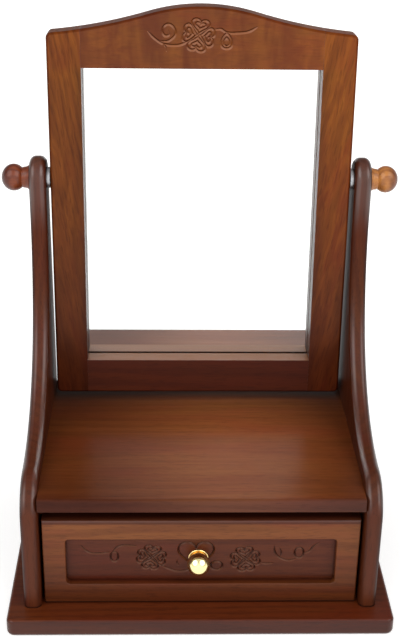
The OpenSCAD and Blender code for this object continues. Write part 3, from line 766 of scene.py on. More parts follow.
def carving_painted_light(tree, body, dark, wear_and_highlight, upper_wall_shade=0.65, lower_wall_highlight=0.62):
    """Painted shade on the carving's upper walls and a painted highlight on its lower ones."""
    cut = add(tree, "Attribute", attribute_name="cut").outputs["Fac"]
    # Painted shade on the upper walls, which face away from the light
    body = blend(tree, between(tree, cut, -0.1, -0.8, 0, upper_wall_shade), body, dark)
    # Painted highlight on the lower walls, which face the light
    return blend(tree, between(tree, cut, 0.1, 0.8, 0, lower_wall_highlight), body, wear_and_highlight)


def frame_painted_light(ledge_sheen=None, wear_and_highlight=None, top=None):
    """Painted shade on the frame's arrises and sides.

    The arguments give the tone of the painted sheen on the ledge, the tone of the painted highlight
    on the carving's lower walls, and top, the level above which a stile is tinted a little and
    below which it is darker towards the opening.
    """

    def glaze_and_painted_light(tree, body, dark):
        if top:
            # A stile is tinted a little above the top, and darker towards the opening below it
            soft = 5 * MM
            above = between(tree, places(tree)["Z"], top - soft, top + soft)
            body = blend(tree, above, body, (0.97, 0.89, 1.05), "MULTIPLY")
            at_opening = between(tree, off_centre(tree), STILE_LOW.x + 9 * MM,
                                 STILE_LOW.x + 1 * MM)
            below = sums(tree, "SUBTRACT", 1.0, above)
            body = blend(tree, sums(tree, "MULTIPLY", below, at_opening), body,
                         (0.74, 0.74, 0.92), "MULTIPLY")
        # Painted shade on the sides and arrises
        side = add(tree, "Attribute", attribute_name="side").outputs["Fac"]
        body = shade_past(tree, body, side, 0.1, 0.9, (0.72, 0.62, 0.68))
        # Painted shade and highlight on the carving's walls
        if wear_and_highlight:
            body = carving_painted_light(tree, body, dark, wear_and_highlight)
        # Painted sheen on the ledge under the glass
        if ledge_sheen:
            on_ledge = add(tree, "Attribute", attribute_name="ledge_sheen").outputs["Fac"]
            body = blend(tree, on_ledge, body, ledge_sheen)
        return body

    return glaze_and_painted_light


def off_centre(tree):
    """How far a point lies from the mirror's middle plane."""
    return sums(tree, "ABSOLUTE", places(tree)["X"])


def dull_sides(material, part=0.05, walls=0.0):
    """Leaves the frame's sides a part of the lacquer, and its opening's walls a coat of it."""
    tree = material.node_tree
    coat = tree.nodes["Principled BSDF"].inputs["Coat Weight"]
    side = add(tree, "Attribute", attribute_name="side").outputs["Fac"]
    full = coat.default_value
    weight = between(tree, side, 0.1, 0.9, full, full * part)
    if walls:
        wall = between(tree, off_centre(tree), STILE_LOW.x + 0.6 * MM, STILE_LOW.x + 0.3 * MM,
                       0, walls)
        weight = sums(tree, "MAXIMUM", weight, wall)
    tree.links.new(weight, coat)


def past_middle(tree):
    """How far a point lies outwards from the middle of a side panel's thickness."""
    return sums(tree, "SUBTRACT", off_centre(tree), (PANEL_LOW.x + PANEL_HIGH.x) / 2)


def panel_painted_shade(tree, body, dark):
    """Painted shade on the side panels' outer sides and arrises, less on their inner sides, and a
    painted shadow at their foot.
    """
    past = past_middle(tree)
    flat, side = 3.2 * MM, 6.4 * MM
    # Painted shade on the outer arris and side
    body = shade_past(tree, body, past, flat, side, (0.42, 0.36, 0.36))
    # Less painted shade on the inner arris and side
    body = shade_past(tree, body, past, -flat, -side, (0.80, 0.76, 0.80))
    # Painted shadow where the panel stands on the base
    foot = PANEL_LOW.z
    return shade_past(tree, body, places(tree)["Z"], foot + 2.2 * MM, foot + 0.4 * MM,
                      (0.3, 0.25, 0.25))


def vary_coat(material, low_coat, high_coat):
    """Lacquer that is thick on a side panel's arrises and head, and that its sides lack."""
    tree = material.node_tree
    level = places(tree)["Z"]
    off = sums(tree, "ABSOLUTE", past_middle(tree))
    side = between(tree, off, 5.8 * MM, 6.4 * MM)
    arris = between(tree, off, 1.5 * MM, 3.5 * MM)
    height = between(tree, level, SHELF_HIGH.z + 40 * MM, PIVOT.z - 60 * MM, low_coat, high_coat)
    over_foot = between(tree, level, SHELF_LOW.z - 4 * MM, SHELF_LOW.z + 8 * MM)
    under_neck = between(tree, level, SHELF_HIGH.z + 110 * MM, SHELF_HIGH.z + 60 * MM)
    sweep = sums(tree, "MULTIPLY", over_foot, under_neck)
    head = between(tree, level, PIVOT.z - 45 * MM, PIVOT.z - 5 * MM)
    thick = sums(tree, "MULTIPLY", arris, sums(tree, "MAXIMUM", sweep, head))
    flat = sums(tree, "ADD", height, sums(tree, "MULTIPLY", head, 0.6))
    whole = sums(tree, "ADD", flat, sums(tree, "MULTIPLY", thick, 0.7))
    front = sums(tree, "MULTIPLY", whole, sums(tree, "SUBTRACT", 1.0, side))
    tree.links.new(front, tree.nodes["Principled BSDF"].inputs["Coat Weight"])


def base_painted_shade(tree, body, dark):
    """Painted shade on the base's arrises and sides, below its top face."""
    top = BASE_HIGH.z
    # Painted shade on all that lies below the top face
    return shade_past(tree, body, places(tree)["Z"], top - 0.1 * MM, top - 1.2 * MM,
                      (0.55, 0.49, 0.52))


def shelf_painted_light(tree, body, dark):
    """Painted shade towards the shelf's ends, away from a lighter band a little right of its
    middle, and towards its back under the mirror; a little darker towards its front.
    """
    lightest, half = 25 * MM, 120 * MM
    aside = sums(tree, "ABSOLUTE", sums(tree, "SUBTRACT", places(tree)["X"], lightest))
    # Painted shade towards the ends beside the panels
    body = shade_past(tree, body, aside, 0, half, (0.48, 0.40, 0.38))
    along = places(tree)["Y"]
    middle = (SHELF_LOW.y + SHELF_HIGH.y) / 2
    # Painted shade towards the back, under the mirror
    body = shade_past(tree, body, along, middle, SHELF_HIGH.y, (0.40, 0.44, 0.60))
    # A little darker towards the front
    return shade_past(tree, body, along, middle - 25 * MM, SHELF_LOW.y + 15 * MM,
                      (0.90, 0.86, 0.90))


def coat_more(material, axis, start, end, coat):
    """Gives a piece a thicker coat of lacquer where an axis runs from start to end."""
    tree = material.node_tree
    weight = tree.nodes["Principled BSDF"].inputs["Coat Weight"]
    tree.links.new(between(tree, places(tree)[axis], start, end, weight.default_value, coat),
                   weight)


def field_glaze_and_shade(drawer, carving, wear_and_highlight):
    """Painted shade on the drawer front's top, a painted shadow at its foot, a darker stain in its
    sunk field with painted shade along its walls, and painted shade and highlight in its carving.
    """
    sunk = FRONT_LOW.y + drawer.depth
    half_x = FRONT_HIGH.x - drawer.border
    half_z = (FRONT_HIGH.z - FRONT_LOW.z) / 2 - drawer.border
    mid_z = (FRONT_HIGH.z + FRONT_LOW.z) / 2

    def glaze_and_painted_light(tree, body, dark):
        x, y, z = places(tree)
        top, foot = FRONT_HIGH.z, FRONT_LOW.z
        # Painted shade on the top and upper arris, under the shelf
        body = shade_past(tree, body, z, top - 4.2 * MM, top - 2.4 * MM, (0.50, 0.44, 0.58))
        # Painted shadow where the front stands over the base
        body = shade_past(tree, body, z, foot + 1.8 * MM, foot + 0.5 * MM, (0.22, 0.16, 0.16))
        over = sums(tree, "SUBTRACT", z, mid_z)
        rooms = [sums(tree, "SUBTRACT", half, sums(tree, "ABSOLUTE", place))
                 for half, place in ((half_x, x), (half_z, over))]
        # A darker stain in the sunk field, with painted shade along its walls
        walls = between(tree, sums(tree, "MINIMUM", *rooms), 0, 2.4 * MM, 0.78, 0.5)
        deep = between(tree, y, FRONT_LOW.y + drawer.depth / 3, sunk)
        # Painted shade down in the carving's grooves
        cut = between(tree, y, sunk + 0.06 * MM, sunk + 0.4 * carving.depth, 0, 0.96)
        amount = sums(tree, "MAXIMUM", sums(tree, "MULTIPLY", walls, deep), cut)
        body = blend(tree, amount, body, dark)
        body = blend(tree, deep, body, (1.08, 0.82, 0.92), "MULTIPLY")
        return carving_painted_light(tree, body, dark, wear_and_highlight, upper_wall_shade=0.8, lower_wall_highlight=0.4)

    return glaze_and_painted_light


def knob_end_grain_and_shade(tree, body, dark):
    """Darker towards a side knob's outer end: end grain that takes more stain, and painted shade
    for the ball's dark rim.
    """
    end = KNOB_HIGH.x
    return shade_past(tree, body, off_centre(tree), end - 12 * MM, end - 2 * MM,
                      (0.36, 0.26, 0.36))


def bare_wood(name, tone, turn, heart):
    """Sanded wood without stain or lacquer."""
    material, tree, shader = new_tree(name)
    light = Vector(tone)
    rings = growth_rings(tree, grain_space(tree, turn, heart, 0.12), ring=6, wander=8.0,
                         detail=2.0, fineness=0.3, profile="SAW")
    streak = noise(tree, grain_space(tree, turn, heart, STREAK_STRETCH), scale=400, detail=3.0,
                   roughness=0.6)
    body = blend(tree, between(tree, rings, 0.4, 0.95, 0, 0.4), light, light * 0.72)
    body = blend(tree, between(tree, streak, 0.35, 0.75, 0, 0.35), body, light * 0.6)
    tree.links.new(body, shader.inputs["Base Color"])
    tree.links.new(between(tree, streak, 0.2, 0.8, 0.6, 0.72), shader.inputs["Roughness"])
    bump = add(tree, "Bump", {"Strength": 0.3, "Distance": 0.15 * MM, "Height": streak})
    tree.links.new(bump.outputs[0], shader.inputs["Normal"])
    return material


def hardboard(name, tone):
    """Pressed fibre board."""
    material, tree, shader = new_tree(name)
    tone = Vector(tone)
    fleck = noise(tree, object_place(tree), scale=900, detail=4.0, roughness=0.7)
    cloud = noise(tree, object_place(tree), scale=30, detail=3.0, roughness=0.6)
    body = blend(tree, between(tree, cloud, 0.3, 0.7), tone, tone * 0.75)
    body = blend(tree, between(tree, fleck, 0.45, 0.7, 0, 0.6), body, tone * 1.6)
    tree.links.new(body, shader.inputs["Base Color"])
    tree.links.new(between(tree, fleck, 0.3, 0.7, 0.55, 0.7), shader.inputs["Roughness"])
    bump = add(tree, "Bump", {"Strength": 0.3, "Distance": 0.1 * MM, "Height": fleck})
    tree.links.new(bump.outputs[0], shader.inputs["Normal"])
    return material


def bright_metal(name, tone, smooth, rough, scale=500, spread=0.93):
    """A plated or polished metal, whose gloss and tone change faintly over its surface.

    smooth, rough: least and greatest roughness
    scale: how fine the patches are
    spread: part of the tone that the darkest patches keep
    """
    material, tree, shader = new_tree(name)
    haze = noise(tree, object_place(tree), scale, detail=3.0, roughness=0.6)
    body = blend(tree, between(tree, haze, 0.3, 0.75), tone, Vector(tone) * spread)
    tree.links.new(body, shader.inputs["Base Color"])
    tree.links.new(between(tree, haze, 0.3, 0.7, smooth, rough), shader.inputs["Roughness"])
    shader.inputs["Metallic"].default_value = 1
    return material


def knob_brass(name, tone, wear_and_highlight):
    """Polished brass that is worn paler on the drawer knob's ball."""
    material = bright_metal(name, tone, 0.12, 0.18)
    tree = material.node_tree
    shader = tree.nodes["Principled BSDF"]
    body = shader.inputs["Base Color"].links[0].from_socket
    base = PULL_HIGH.y
    ball = between(tree, places(tree)["Y"], base - 8 * MM, base - 11 * MM)
    tree.links.new(blend(tree, ball, body, wear_and_highlight), shader.inputs["Base Color"])
    return material


def clear_glass(name):
    """The clear face and edges of the mirror glass."""
    material, tree, shader = new_tree(name)
    cloud = noise(tree, object_place(tree), scale=8, detail=1.0)
    tint = blend(tree, cloud, (0.985, 0.995, 0.99), (0.975, 0.99, 0.985))
    tree.links.new(tint, shader.inputs["Base Color"])
    shader.inputs["Roughness"].default_value = 0.0
    shader.inputs["IOR"].default_value = 1.5
    shader.inputs["Transmission Weight"].default_value = 1
    return material


# Stains

# Where the tree's heart lies beside each panel, and its part of the full tone
PANEL_WOOD = {"left": ((-0.1, 0.05, 0.3), 1.0), "right": ((0.09, 0.02, 0.1), 0.9)}

# The same for the stiles, with the lean of their grain in radians in between
STILE_WOOD = {"left": ((-0.13, 0.05, 0.36), 0.15, 0.96),
              "right": ((0.14, 0.045, 0.33), -0.17, 1.15)}


def base_stain(finish):
    """The stain of the base."""
    return stained_wood("base_stain", finish.base, ALONG_X, (0.1, 0.12, -0.05),
                        gloss=finish.gloss, coat=0.3, glaze_and_painted_light=base_painted_shade)


def shelf_stain(finish):
    """The stain of the shelf, dark along its front edge, under lacquer thinnest on the left."""
    stain = stained_wood("shelf_stain", finish.shelf, ALONG_X, (0.35, -0.02, 0.02), depth=0.3,
                         streaks=0.34, pores=0.22, coat=0.12, shine=0.04, warm=0.45,
                         deepen=("Y", SHELF_LOW.y + 4 * MM, SHELF_LOW.y, (0.48, 0.48, 0.78)),
                         glaze_and_painted_light=shelf_painted_light)
    coat_more(stain, "X", -90 * MM, 35 * MM, 0.30)
    return stain


def panel_stain(side, finish):
    """The stain of a side panel, under lacquer that varies."""
    heart, part = PANEL_WOOD[side]
    stain = stained_wood(f"{side}_panel_stain", Vector(finish.panel) * part, ALONG_Z, heart,
                         gloss=finish.panel_gloss, shine=0.05, glaze_and_painted_light=panel_painted_shade)
    vary_coat(stain, 0.24, 0.10)
    return stain


def stile_stain(side, sizes, finish):
    """The stain of a stile, which runs from the crest's tone down to the bottom rail's."""
    heart, skew, part = STILE_WOOD[side]
    top = PIVOT.z + sizes.opening_rise
    at_foot = [low / high for low, high in zip(finish.foot, finish.crest)]
    stain = stained_wood(f"{side}_stile_stain", Vector(finish.crest) * part,
                         (sizes.lean, math.pi / 2 + skew, 0), heart, ring=6.0, wander=26,
                         figure=0.22, flame=0.45, gloss=finish.gloss, coat=0.18, shine=0.03,
                         warm=0.75, deepen=("Z", top, STILE_LOW.z, at_foot),
                         glaze_and_painted_light=frame_painted_light(top=top))
    dull_sides(stain, walls=0.5)
    return stain


def crest_stain(sizes, finish):
    """The stain of the crest, banded across the grain and lightest at its right end."""
    stain = stained_wood("crest_stain", Vector(finish.crest) * 1.15, (sizes.lean, 0, 0),
                         (0.1, 0.04, 0.38), wander=20, figure=0.45, depth=0.12, streaks=0.06,
                         flame=0.3, curl=0.75, pores=0.14, gloss=finish.gloss, coat=0.27,
                         shine=0.03, deepen=("X", STILE_LOW.x, 0.0, (0.80, 0.78, 0.88)),
                         glaze_and_painted_light=frame_painted_light(wear_and_highlight=finish.wear_and_highlight))
    dull_sides(stain)
    return stain


def foot_rail_stain(sizes, finish):
    """The stain of the bottom rail, with a painted sheen on the ledge under the glass."""
    return stained_wood("foot_rail_stain", finish.foot, (sizes.lean, 0, 0), (0.3, 0.02, 0.1),
                        gloss=finish.gloss, glaze_and_painted_light=frame_painted_light(ledge_sheen=finish.ledge_sheen))


def drawer_stain(drawer, carving, finish):
    """The stain of the drawer front, darker towards its foot, with a glossier upper arris."""
    top, foot, half = FRONT_HIGH.z, FRONT_LOW.z, drawer.border / 2
    stain = stained_wood("drawer_front_stain", finish.front, ALONG_X, (0.2, -0.05, 0.1),
                         gloss=finish.gloss, coat=0.12,
                         deepen=("Z", top - half, foot + half, (0.50, 0.37, 0.25)),
                         glaze_and_painted_light=field_glaze_and_shade(drawer, carving, finish.front))
    coat_more(stain, "Z", top - 1.8 * MM, top - 1.2 * MM, 0.5)
    return stain


def back_stain(finish):
    """The thinly lacquered stain of the case's back and of the rail under the shelf."""
    return stained_wood("back_stain", finish.base, ALONG_X, (0.3, 0.2, 0.1), gloss=0.4, coat=0.1)


def knob_wood(side, tone, gloss):
    """A glossy turned wood, with its grain along the lathe's axis."""
    heart = (0, PIVOT.y + 12 * MM, PIVOT.z + 4 * MM)
    return stained_wood(f"{side}_knob_wood", tone, ALONG_X, heart, ring=3.4, wander=5, depth=0.55,
                        pores=0.2, gloss=gloss, coat=0.5, warm=0.8, glaze_and_painted_light=knob_end_grain_and_shade)


# Stand

def panel_moves(stand):
    """The outline of a side panel from its back foot, in the plane of X = 0."""
    front, back, foot = PANEL_LOW.y, PANEL_HIGH.y, PANEL_LOW.z
    top = PANEL_HIGH.z - PIVOT.z
    foot_y, foot_z = front + stand.shoulder, SHELF_HIGH.z + stand.shoulder_rise
    head_y, head_z = back - 2 * top, PIVOT.z - stand.sweep_end
    run, lift = head_y - foot_y, head_z - foot_z
    s, c = math.sin(stand.sweep_turn), math.cos(stand.sweep_turn)
    whole = s * c - (1 - s) * (1 - c)
    low_r = (run * c - lift * (1 - s)) / whole
    high_r = (lift * s - run * (1 - c)) / whole
    quarter = math.pi / 2
    return [
        ("line", (0, back, PIVOT.z)),
        ("arc", (0, PIVOT.y, PIVOT.z), math.pi),
        ("line", (0, head_y, head_z)),
        ("arc", (0, head_y - high_r, head_z), stand.sweep_turn - quarter),
        ("arc", (0, foot_y, foot_z + low_r), -stand.sweep_turn),
        ("arc", (0, foot_y, foot_z - stand.shoulder), quarter),
        ("line", (0, front, foot)),
        ("line", (0, back, foot)),
    ]


def make_side_panel(side, stand, material):
    """A side panel with routed arrises and a bore for the stud."""
    wide = PANEL_HIGH.x - PANEL_LOW.x
    bm = bmesh.new()
    trace(bm, (0, PANEL_HIGH.y, PANEL_LOW.z), panel_moves(stand), RIGHT)
    extrude(bm, closed_face(bm), (wide, 0, 0))
    arrises = [e for e in bm.edges if near(e.verts[0].co.x, e.verts[1].co.x)
               and not all(near(v.co.z, PANEL_LOW.z) for v in e.verts)]
    round_over(bm, arrises, stand.panel_arris, 8)
    bmesh.ops.translate(bm, verts=bm.verts, vec=(PANEL_LOW.x, 0, 0))
    bm = cut(bm, cylinder_mesh((PANEL_LOW.x - wide, PIVOT.y, PIVOT.z), RIGHT,
                               (STUD_HIGH.z - STUD_LOW.z) / 2, 3 * wide))
    bmesh.ops.scale(bm, verts=bm.verts, vec=(SIDES[side], 1, 1))
    finish_piece(bm, f"{side}_swept_panel", "stand", material,
                 [f"{side}_side_panel"])


def make_base(stand, material):
    """The base board, with countersunk holes for its screws."""
    bm = box_mesh(BASE_LOW, BASE_HIGH)
    corners = [e for e in bm.edges if near(e.verts[0].co.x, e.verts[1].co.x)
               and near(e.verts[0].co.y, e.verts[1].co.y)]
    round_over(bm, corners, stand.base_corner, 10)
    round_over(bm, edges_where(bm, lambda p: near(p.z, BASE_HIGH.z)), stand.base_top_arris)
    round_over(bm, edges_where(bm, lambda p: near(p.z, BASE_LOW.z)), stand.base_foot_arris)
    head, play = stand.screw_head / 2, 0.05 * MM
    rows = (SCREWS_LOW.y + head, (SCREWS_LOW.y + SCREWS_HIGH.y) / 2, SCREWS_HIGH.y - head)
    sinks = [cylinder_mesh((x, y, -PAST), UP, head, PAST + SCREWS_LOW.z + play)
             for x in (SCREWS_LOW.x + head, SCREWS_HIGH.x - head) for y in rows]
    finish_piece(cut(bm, *sinks), "base", "stand", material, ["base_board"])


def make_shelf(stand, material):
    """The shelf, routed along its front."""
    bm = box_mesh(SHELF_LOW, SHELF_HIGH)
    lip = edges_where(bm, lambda p: near(p.y, SHELF_LOW.y) and near(p.z, SHELF_HIGH.z))
    round_over(bm, lip, stand.shelf_arris)
    foot = edges_where(bm, lambda p: near(p.y, SHELF_LOW.y) and near(p.z, SHELF_LOW.z))
    round_over(bm, foot, stand.shelf_arris / 3, 3)
    finish_piece(bm, "shelf", "stand", material, ["top_board"])


# Mirror frame

def crest_curve(sizes):
    """Centres and turns of the arcs along the frame's upper edge."""
    half = STILE_HIGH.x
    end = sizes.opening_rise + sizes.crest_rail
    dome = Vector((0, end + sizes.crest_rise - sizes.dome))
    to_edge = Vector((half, end)) - dome
    both = sizes.dome + sizes.flank
    flank_turn = math.atan2(to_edge.x, to_edge.y) - math.acos(
        (both ** 2 + to_edge.length_squared - sizes.flank ** 2) / (2 * both * to_edge.length))
    flank = dome + both * Vector((math.sin(flank_turn), math.cos(flank_turn)))
    corner_x = half - sizes.corner
    corner = Vector((corner_x, flank.y - math.sqrt((sizes.flank + sizes.corner) ** 2
                                                    - (flank.x - corner_x) ** 2)))
    corner_turn = math.atan2(flank.y - corner.y, flank.x - corner.x)
    return dome, flank, flank_turn, corner, corner_turn


def frame_blank(sizes):
    """The whole frame's outline as one board, in its own plane, with routed arrises."""
    half, foot, r = STILE_HIGH.x, -sizes.drop, sizes.corner
    dome, flank, flank_turn, corner, corner_turn = crest_curve(sizes)
    quarter = math.pi / 2
    flank_run = quarter - flank_turn - corner_turn
    back = -sizes.thickness / 2
    moves = [
        ("line", (half - r, foot, back)),
        ("arc", (half - r, foot + r, back), quarter),
        ("line", (half, corner.y, back)),
        ("arc", (corner.x, corner.y, back), corner_turn),
        ("arc", (flank.x, flank.y, back), flank_run),
        ("arc", (dome.x, dome.y, back), 2 * flank_turn),
        ("arc", (-flank.x, flank.y, back), flank_run),
        ("arc", (-corner.x, corner.y, back), corner_turn),
        ("line", (-half, foot + r, back)),
        ("arc", (r - half, foot + r, back), quarter),
    ]
    bm = bmesh.new()
    trace(bm, (r - half, foot, back), moves)
    extrude(bm, closed_face(bm), (0, 0, sizes.thickness))
    arrises = [e for e in bm.edges if near(e.verts[0].co.z, e.verts[1].co.z)]
    round_over(bm, arrises, sizes.arris, 6)
    return bm


def keep_beyond(bm, point, way):
    """Saws a board off at a plane, keeps the side that way points to and closes the cut."""
    bmesh.ops.bisect_plane(bm, geom=bm.verts[:] + bm.edges[:] + bm.faces[:], dist=HAIR,
                           plane_co=point, plane_no=way, clear_inner=True)
    bmesh.ops.holes_fill(bm, edges=loose_edges(bm))
    bmesh.ops.recalc_face_normals(bm, faces=bm.faces)


def ease_cut(bm, axis, at, face, ease):
    """Eases the front side of a sawn face."""
    round_over(bm, edges_where(bm, lambda p: near(p[axis], at) and near(p.z, face)), ease, 3)


def mark_sides(bm, face):
    """Marks all that isn't the flat front of a piece, for its painted shade."""
    mark = bm.verts.layers.float.new("side")
    flat = face - 0.03 * MM
    for vert in bm.verts:
        vert[mark] = 0.0 if vert.co.z > flat else 1.0


def mark_ledge(bm):
    """Marks the ledge under the glass, for its painted sheen."""
    mark = bm.faces.layers.float.new("ledge_sheen")
    bm.normal_update()
    for face in bm.faces:
        looks_up = face.normal.y > 0.85
        face[mark] = 1.0 if looks_up else 0.0


def rabbet_cutter(sizes):
    """What is cut from the frame's back for the glass and its backing board."""
    wide = STILE_LOW.x + sizes.rabbet
    low = -sizes.drop + sizes.foot_rail - sizes.rabbet
    return box_mesh((-wide, low, -sizes.thickness),
                    (wide, sizes.opening_rise + sizes.rabbet, sizes.thickness / 2 - sizes.lip))


def make_stile(side, sizes, material, place):
    """A stile, running the frame's full height."""
    way = SIDES[side]
    inner = way * STILE_LOW.x
    bm = frame_blank(sizes)
    keep_beyond(bm, (inner, 0, 0), (way, 0, 0))
    ease_cut(bm, 0, inner, sizes.thickness / 2, sizes.ease)
    bm = cut(bm, rabbet_cutter(sizes))
    mark_sides(bm, sizes.thickness / 2)
    finish_piece(bm, f"{side}_upright_of_frame", "mirror", material,
                 [f"{side}_stile"], place)


def frame_rail(sizes, level, way):
    """The stretch of the frame between the stiles, above or below a level."""
    bm = frame_blank(sizes)
    for side in SIDES.values():
        keep_beyond(bm, (side * STILE_LOW.x, 0, 0), (-side, 0, 0))
    keep_beyond(bm, (0, level, 0), (0, way, 0))
    face = sizes.thickness / 2
    for side in SIDES.values():
        ease_cut(bm, 0, side * STILE_LOW.x, face, sizes.ease)
    ease_cut(bm, 1, level, face, sizes.opening_arris)
    bm = cut(bm, rabbet_cutter(sizes))
    mark_sides(bm, face)
    return bm


def make_crest(sizes, carving, material, place):
    """The crest rail, with the clover and the vines engraved in it."""
    bm = frame_rail(sizes, sizes.opening_rise, 1)
    engrave(bm, CREST_SCORES, crest_lines(), carving.crest_width, carving)
    finish_piece(bm, "carved_crest", "mirror", material, ["crest_rail"], place)


def make_foot_rail(sizes, material, place):
    """The bottom rail, with a painted sheen on the ledge under the glass."""
    bm = frame_rail(sizes, -sizes.drop + sizes.foot_rail, -1)
    mark_ledge(bm)
    finish_piece(bm, "foot_of_frame", "mirror", material, ["bottom_rail"], place)


def make_glass(sizes, clear, silver, place):
    """The mirror glass: clear in front and at its edges, silvered behind."""
    half = STILE_LOW.x + sizes.rabbet - sizes.glass_gap
    low = -sizes.drop + sizes.foot_rail - sizes.rabbet + sizes.glass_gap
    high = sizes.opening_rise + sizes.rabbet - sizes.glass_gap
    face = sizes.thickness / 2 - sizes.lip
    bm = box_mesh((-half, low, face - sizes.glass + sizes.silver_gap), (half, high, face))
    round_over(bm, edges_where(bm, lambda p: near(p.z, face)), sizes.glass_arris, 1)
    for side in bm.faces:
        side.material_index = 1 if side.normal.z < -0.9 else 0
    glass = finish_piece(bm, "silvered_glass", "mirror", clear, ["mirror_glass"], place)
    glass.data.materials.append(silver)


# Drawer

def make_drawer_front(drawer, carving, material):
    """The drawer front with its sunk field and the vine engraved in it."""
    half = FRONT_HIGH.x
    thick = FRONT_HIGH.y - FRONT_LOW.y
    bm = box_mesh((-half, FRONT_LOW.z, -thick), (half, FRONT_HIGH.z, 0))
    arrises = [e for e in edges_where(bm, lambda p: near(p.z, 0))
               if not all(near(v.co.y, FRONT_LOW.z) for v in e.verts)]
    round_over(bm, arrises, drawer.arris, 5)
    bmesh.ops.delete(bm, geom=[front_face(bm)], context="FACES_ONLY")
    rim = loose_edges(bm)
    known = set(bm.edges)
    sunk_field(bm, drawer)
    inner = [e for e in bm.edges if e not in known]
    bmesh.ops.triangle_fill(bm, use_beauty=True, edges=rim + inner, normal=UP)
    inside = bmesh.ops.edgeloop_fill(bm, edges=inner)["faces"][0]
    round_down(bm, inside, drawer.field_arris)
    sink(bm, inside, drawer.depth - drawer.field_arris)
    engrave(bm, DRAWER_SCORES, drawer_lines(), carving.drawer_width, carving)
    centre = (PULL_LOW + PULL_HIGH) / 2
    bm = cut(bm, cylinder_mesh((centre.x, centre.z, -2 * thick), UP, drawer.screw_hole / 2,
                               2 * thick))
    finish_piece(bm, "carved_drawer_front", "drawer", material, ["drawer_front"],
                 in_plane(0, (0, FRONT_LOW.y, 0)))


def sunk_field(bm, drawer):
    """The outline of the drawer's sunk field, in the front's own plane."""
    x = FRONT_HIGH.x - drawer.border + drawer.field_arris
    low = FRONT_LOW.z + drawer.border - drawer.field_arris
    high = FRONT_HIGH.z - drawer.border + drawer.field_arris
    r = drawer.corner + drawer.field_arris
    quarter = math.pi / 2
    moves = [
        ("line", (x - r, low, 0)), ("arc", (x - r, low + r, 0), quarter),
        ("line", (x, high - r, 0)), ("arc", (x - r, high - r, 0), quarter),
        ("line", (r - x, high, 0)), ("arc", (r - x, high - r, 0), quarter),
        ("line", (-x, low + r, 0)), ("arc", (r - x, low + r, 0), quarter),
    ]
    trace(bm, (r - x, low, 0), moves)
    bmesh.ops.remove_doubles(bm, verts=[v for v in bm.verts if not v.link_faces], dist=WELD)


def round_down(bm, face, radius, steps=4):
    """Rounds the arris around a face inwards, and takes the face down with it."""
    for i in range(steps):
        a, b = (math.pi / 2 * k / steps for k in (i, i + 1))
        bmesh.ops.inset_region(bm, faces=[face], thickness=radius * (math.sin(b) - math.sin(a)),
                               depth=-radius * (math.cos(a) - math.cos(b)),
                               use_even_offset=True)


def sink(bm, face, depth):
    """Pushes a face straight back and leaves walls around it."""
    bmesh.ops.inset_region(bm, faces=[face], thickness=0, depth=-depth)


def make_drawer_box(drawer, material):
    """The drawer's sides and back."""
    for side, way in SIDES.items():
        low, high = DRAWER_SIDE_LOW, DRAWER_SIDE_HIGH
        bm = box_mesh(low, high)
        round_over(bm, edges_where(bm, lambda p: near(p.z, high.z)), drawer.ease, 3)
        bm = cut(bm, box_mesh((low.x - PAST, low.y - PAST, DRAWER_BOTTOM_LOW.z),
                              (low.x + drawer.groove, high.y + PAST, DRAWER_BOTTOM_HIGH.z)))
        bmesh.ops.scale(bm, verts=bm.verts, vec=(way, 1, 1))
        finish_piece(bm, f"{side}_drawer_board", "drawer", material,
                     [f"drawer_{side}_side"])
    bm = box_mesh(DRAWER_BACK_LOW, DRAWER_BACK_HIGH)
    round_over(bm, edges_where(bm, lambda p: near(p.z, DRAWER_BACK_HIGH.z)), drawer.ease, 3)
    finish_piece(bm, "drawer_back_board", "drawer", material, ["drawer_back"])


# Turned pieces

# The cove at a side knob's foot, along the axis and outwards, in shares of its height
KNOB_COVE = ((3, 0), (2, 0.14), (1.2, 0.42), (0.6, 0.8), (0.3, 1))

# The brass knob's hollow neck: shares of its length, and millimetres outside its waist
PULL_COVE = ((0.3, 1.2), (0.6, 0.2))


def make_side_knob(side, knobs, material):
    """A turned wooden knob: a flattened ball, a groove, a hollow neck, a foot and a bore."""
    radius = (KNOB_HIGH.z - KNOB_LOW.z) / 2
    centre = KNOB_HIGH.x - radius * knobs.flatten
    bore = (STUD_HIGH.z - STUD_LOW.z) / 2
    foot, neck, start = knobs.foot / 2, knobs.neck / 2, KNOB_LOW.x
    waist = neck - knobs.groove_depth
    turn = math.pi - math.asin(waist / radius)
    meet = centre + radius * math.cos(turn) * knobs.flatten
    flare = foot - neck

    def at(x, r):
        return Vector((x, PIVOT.y, PIVOT.z + r))

    bm = bmesh.new()
    end = trace(bm, at(centre + radius, 0), [("arc", at(centre, 0), -turn)], (0, 1, 0))
    bmesh.ops.scale(bm, verts=bm.verts, vec=(knobs.flatten, 1, 1),
                    space=Matrix.Translation(-at(centre, 0)))
    edge = meet - knobs.groove_width
    profile = [at(meet - knobs.groove_floor, waist), at(edge, neck - 0.4 * knobs.groove_ease),
               at(edge - knobs.groove_ease, neck)]
    profile += [at(start + along * flare, neck + out * flare) for along, out in KNOB_COVE]
    profile += [at(start, foot), at(start, bore), at(STUD_HIGH.x, bore), at(STUD_HIGH.x, 0)]
    for point in profile:
        end = line_to(bm, end, point)
    lathe(bm, PIVOT, RIGHT, 72)
    bmesh.ops.scale(bm, verts=bm.verts, vec=(SIDES[side], 1, 1))
    finish_piece(bm, f"{side}_turned_knob", f"{side}_tilt_knob", material, [f"{side}_knob"])


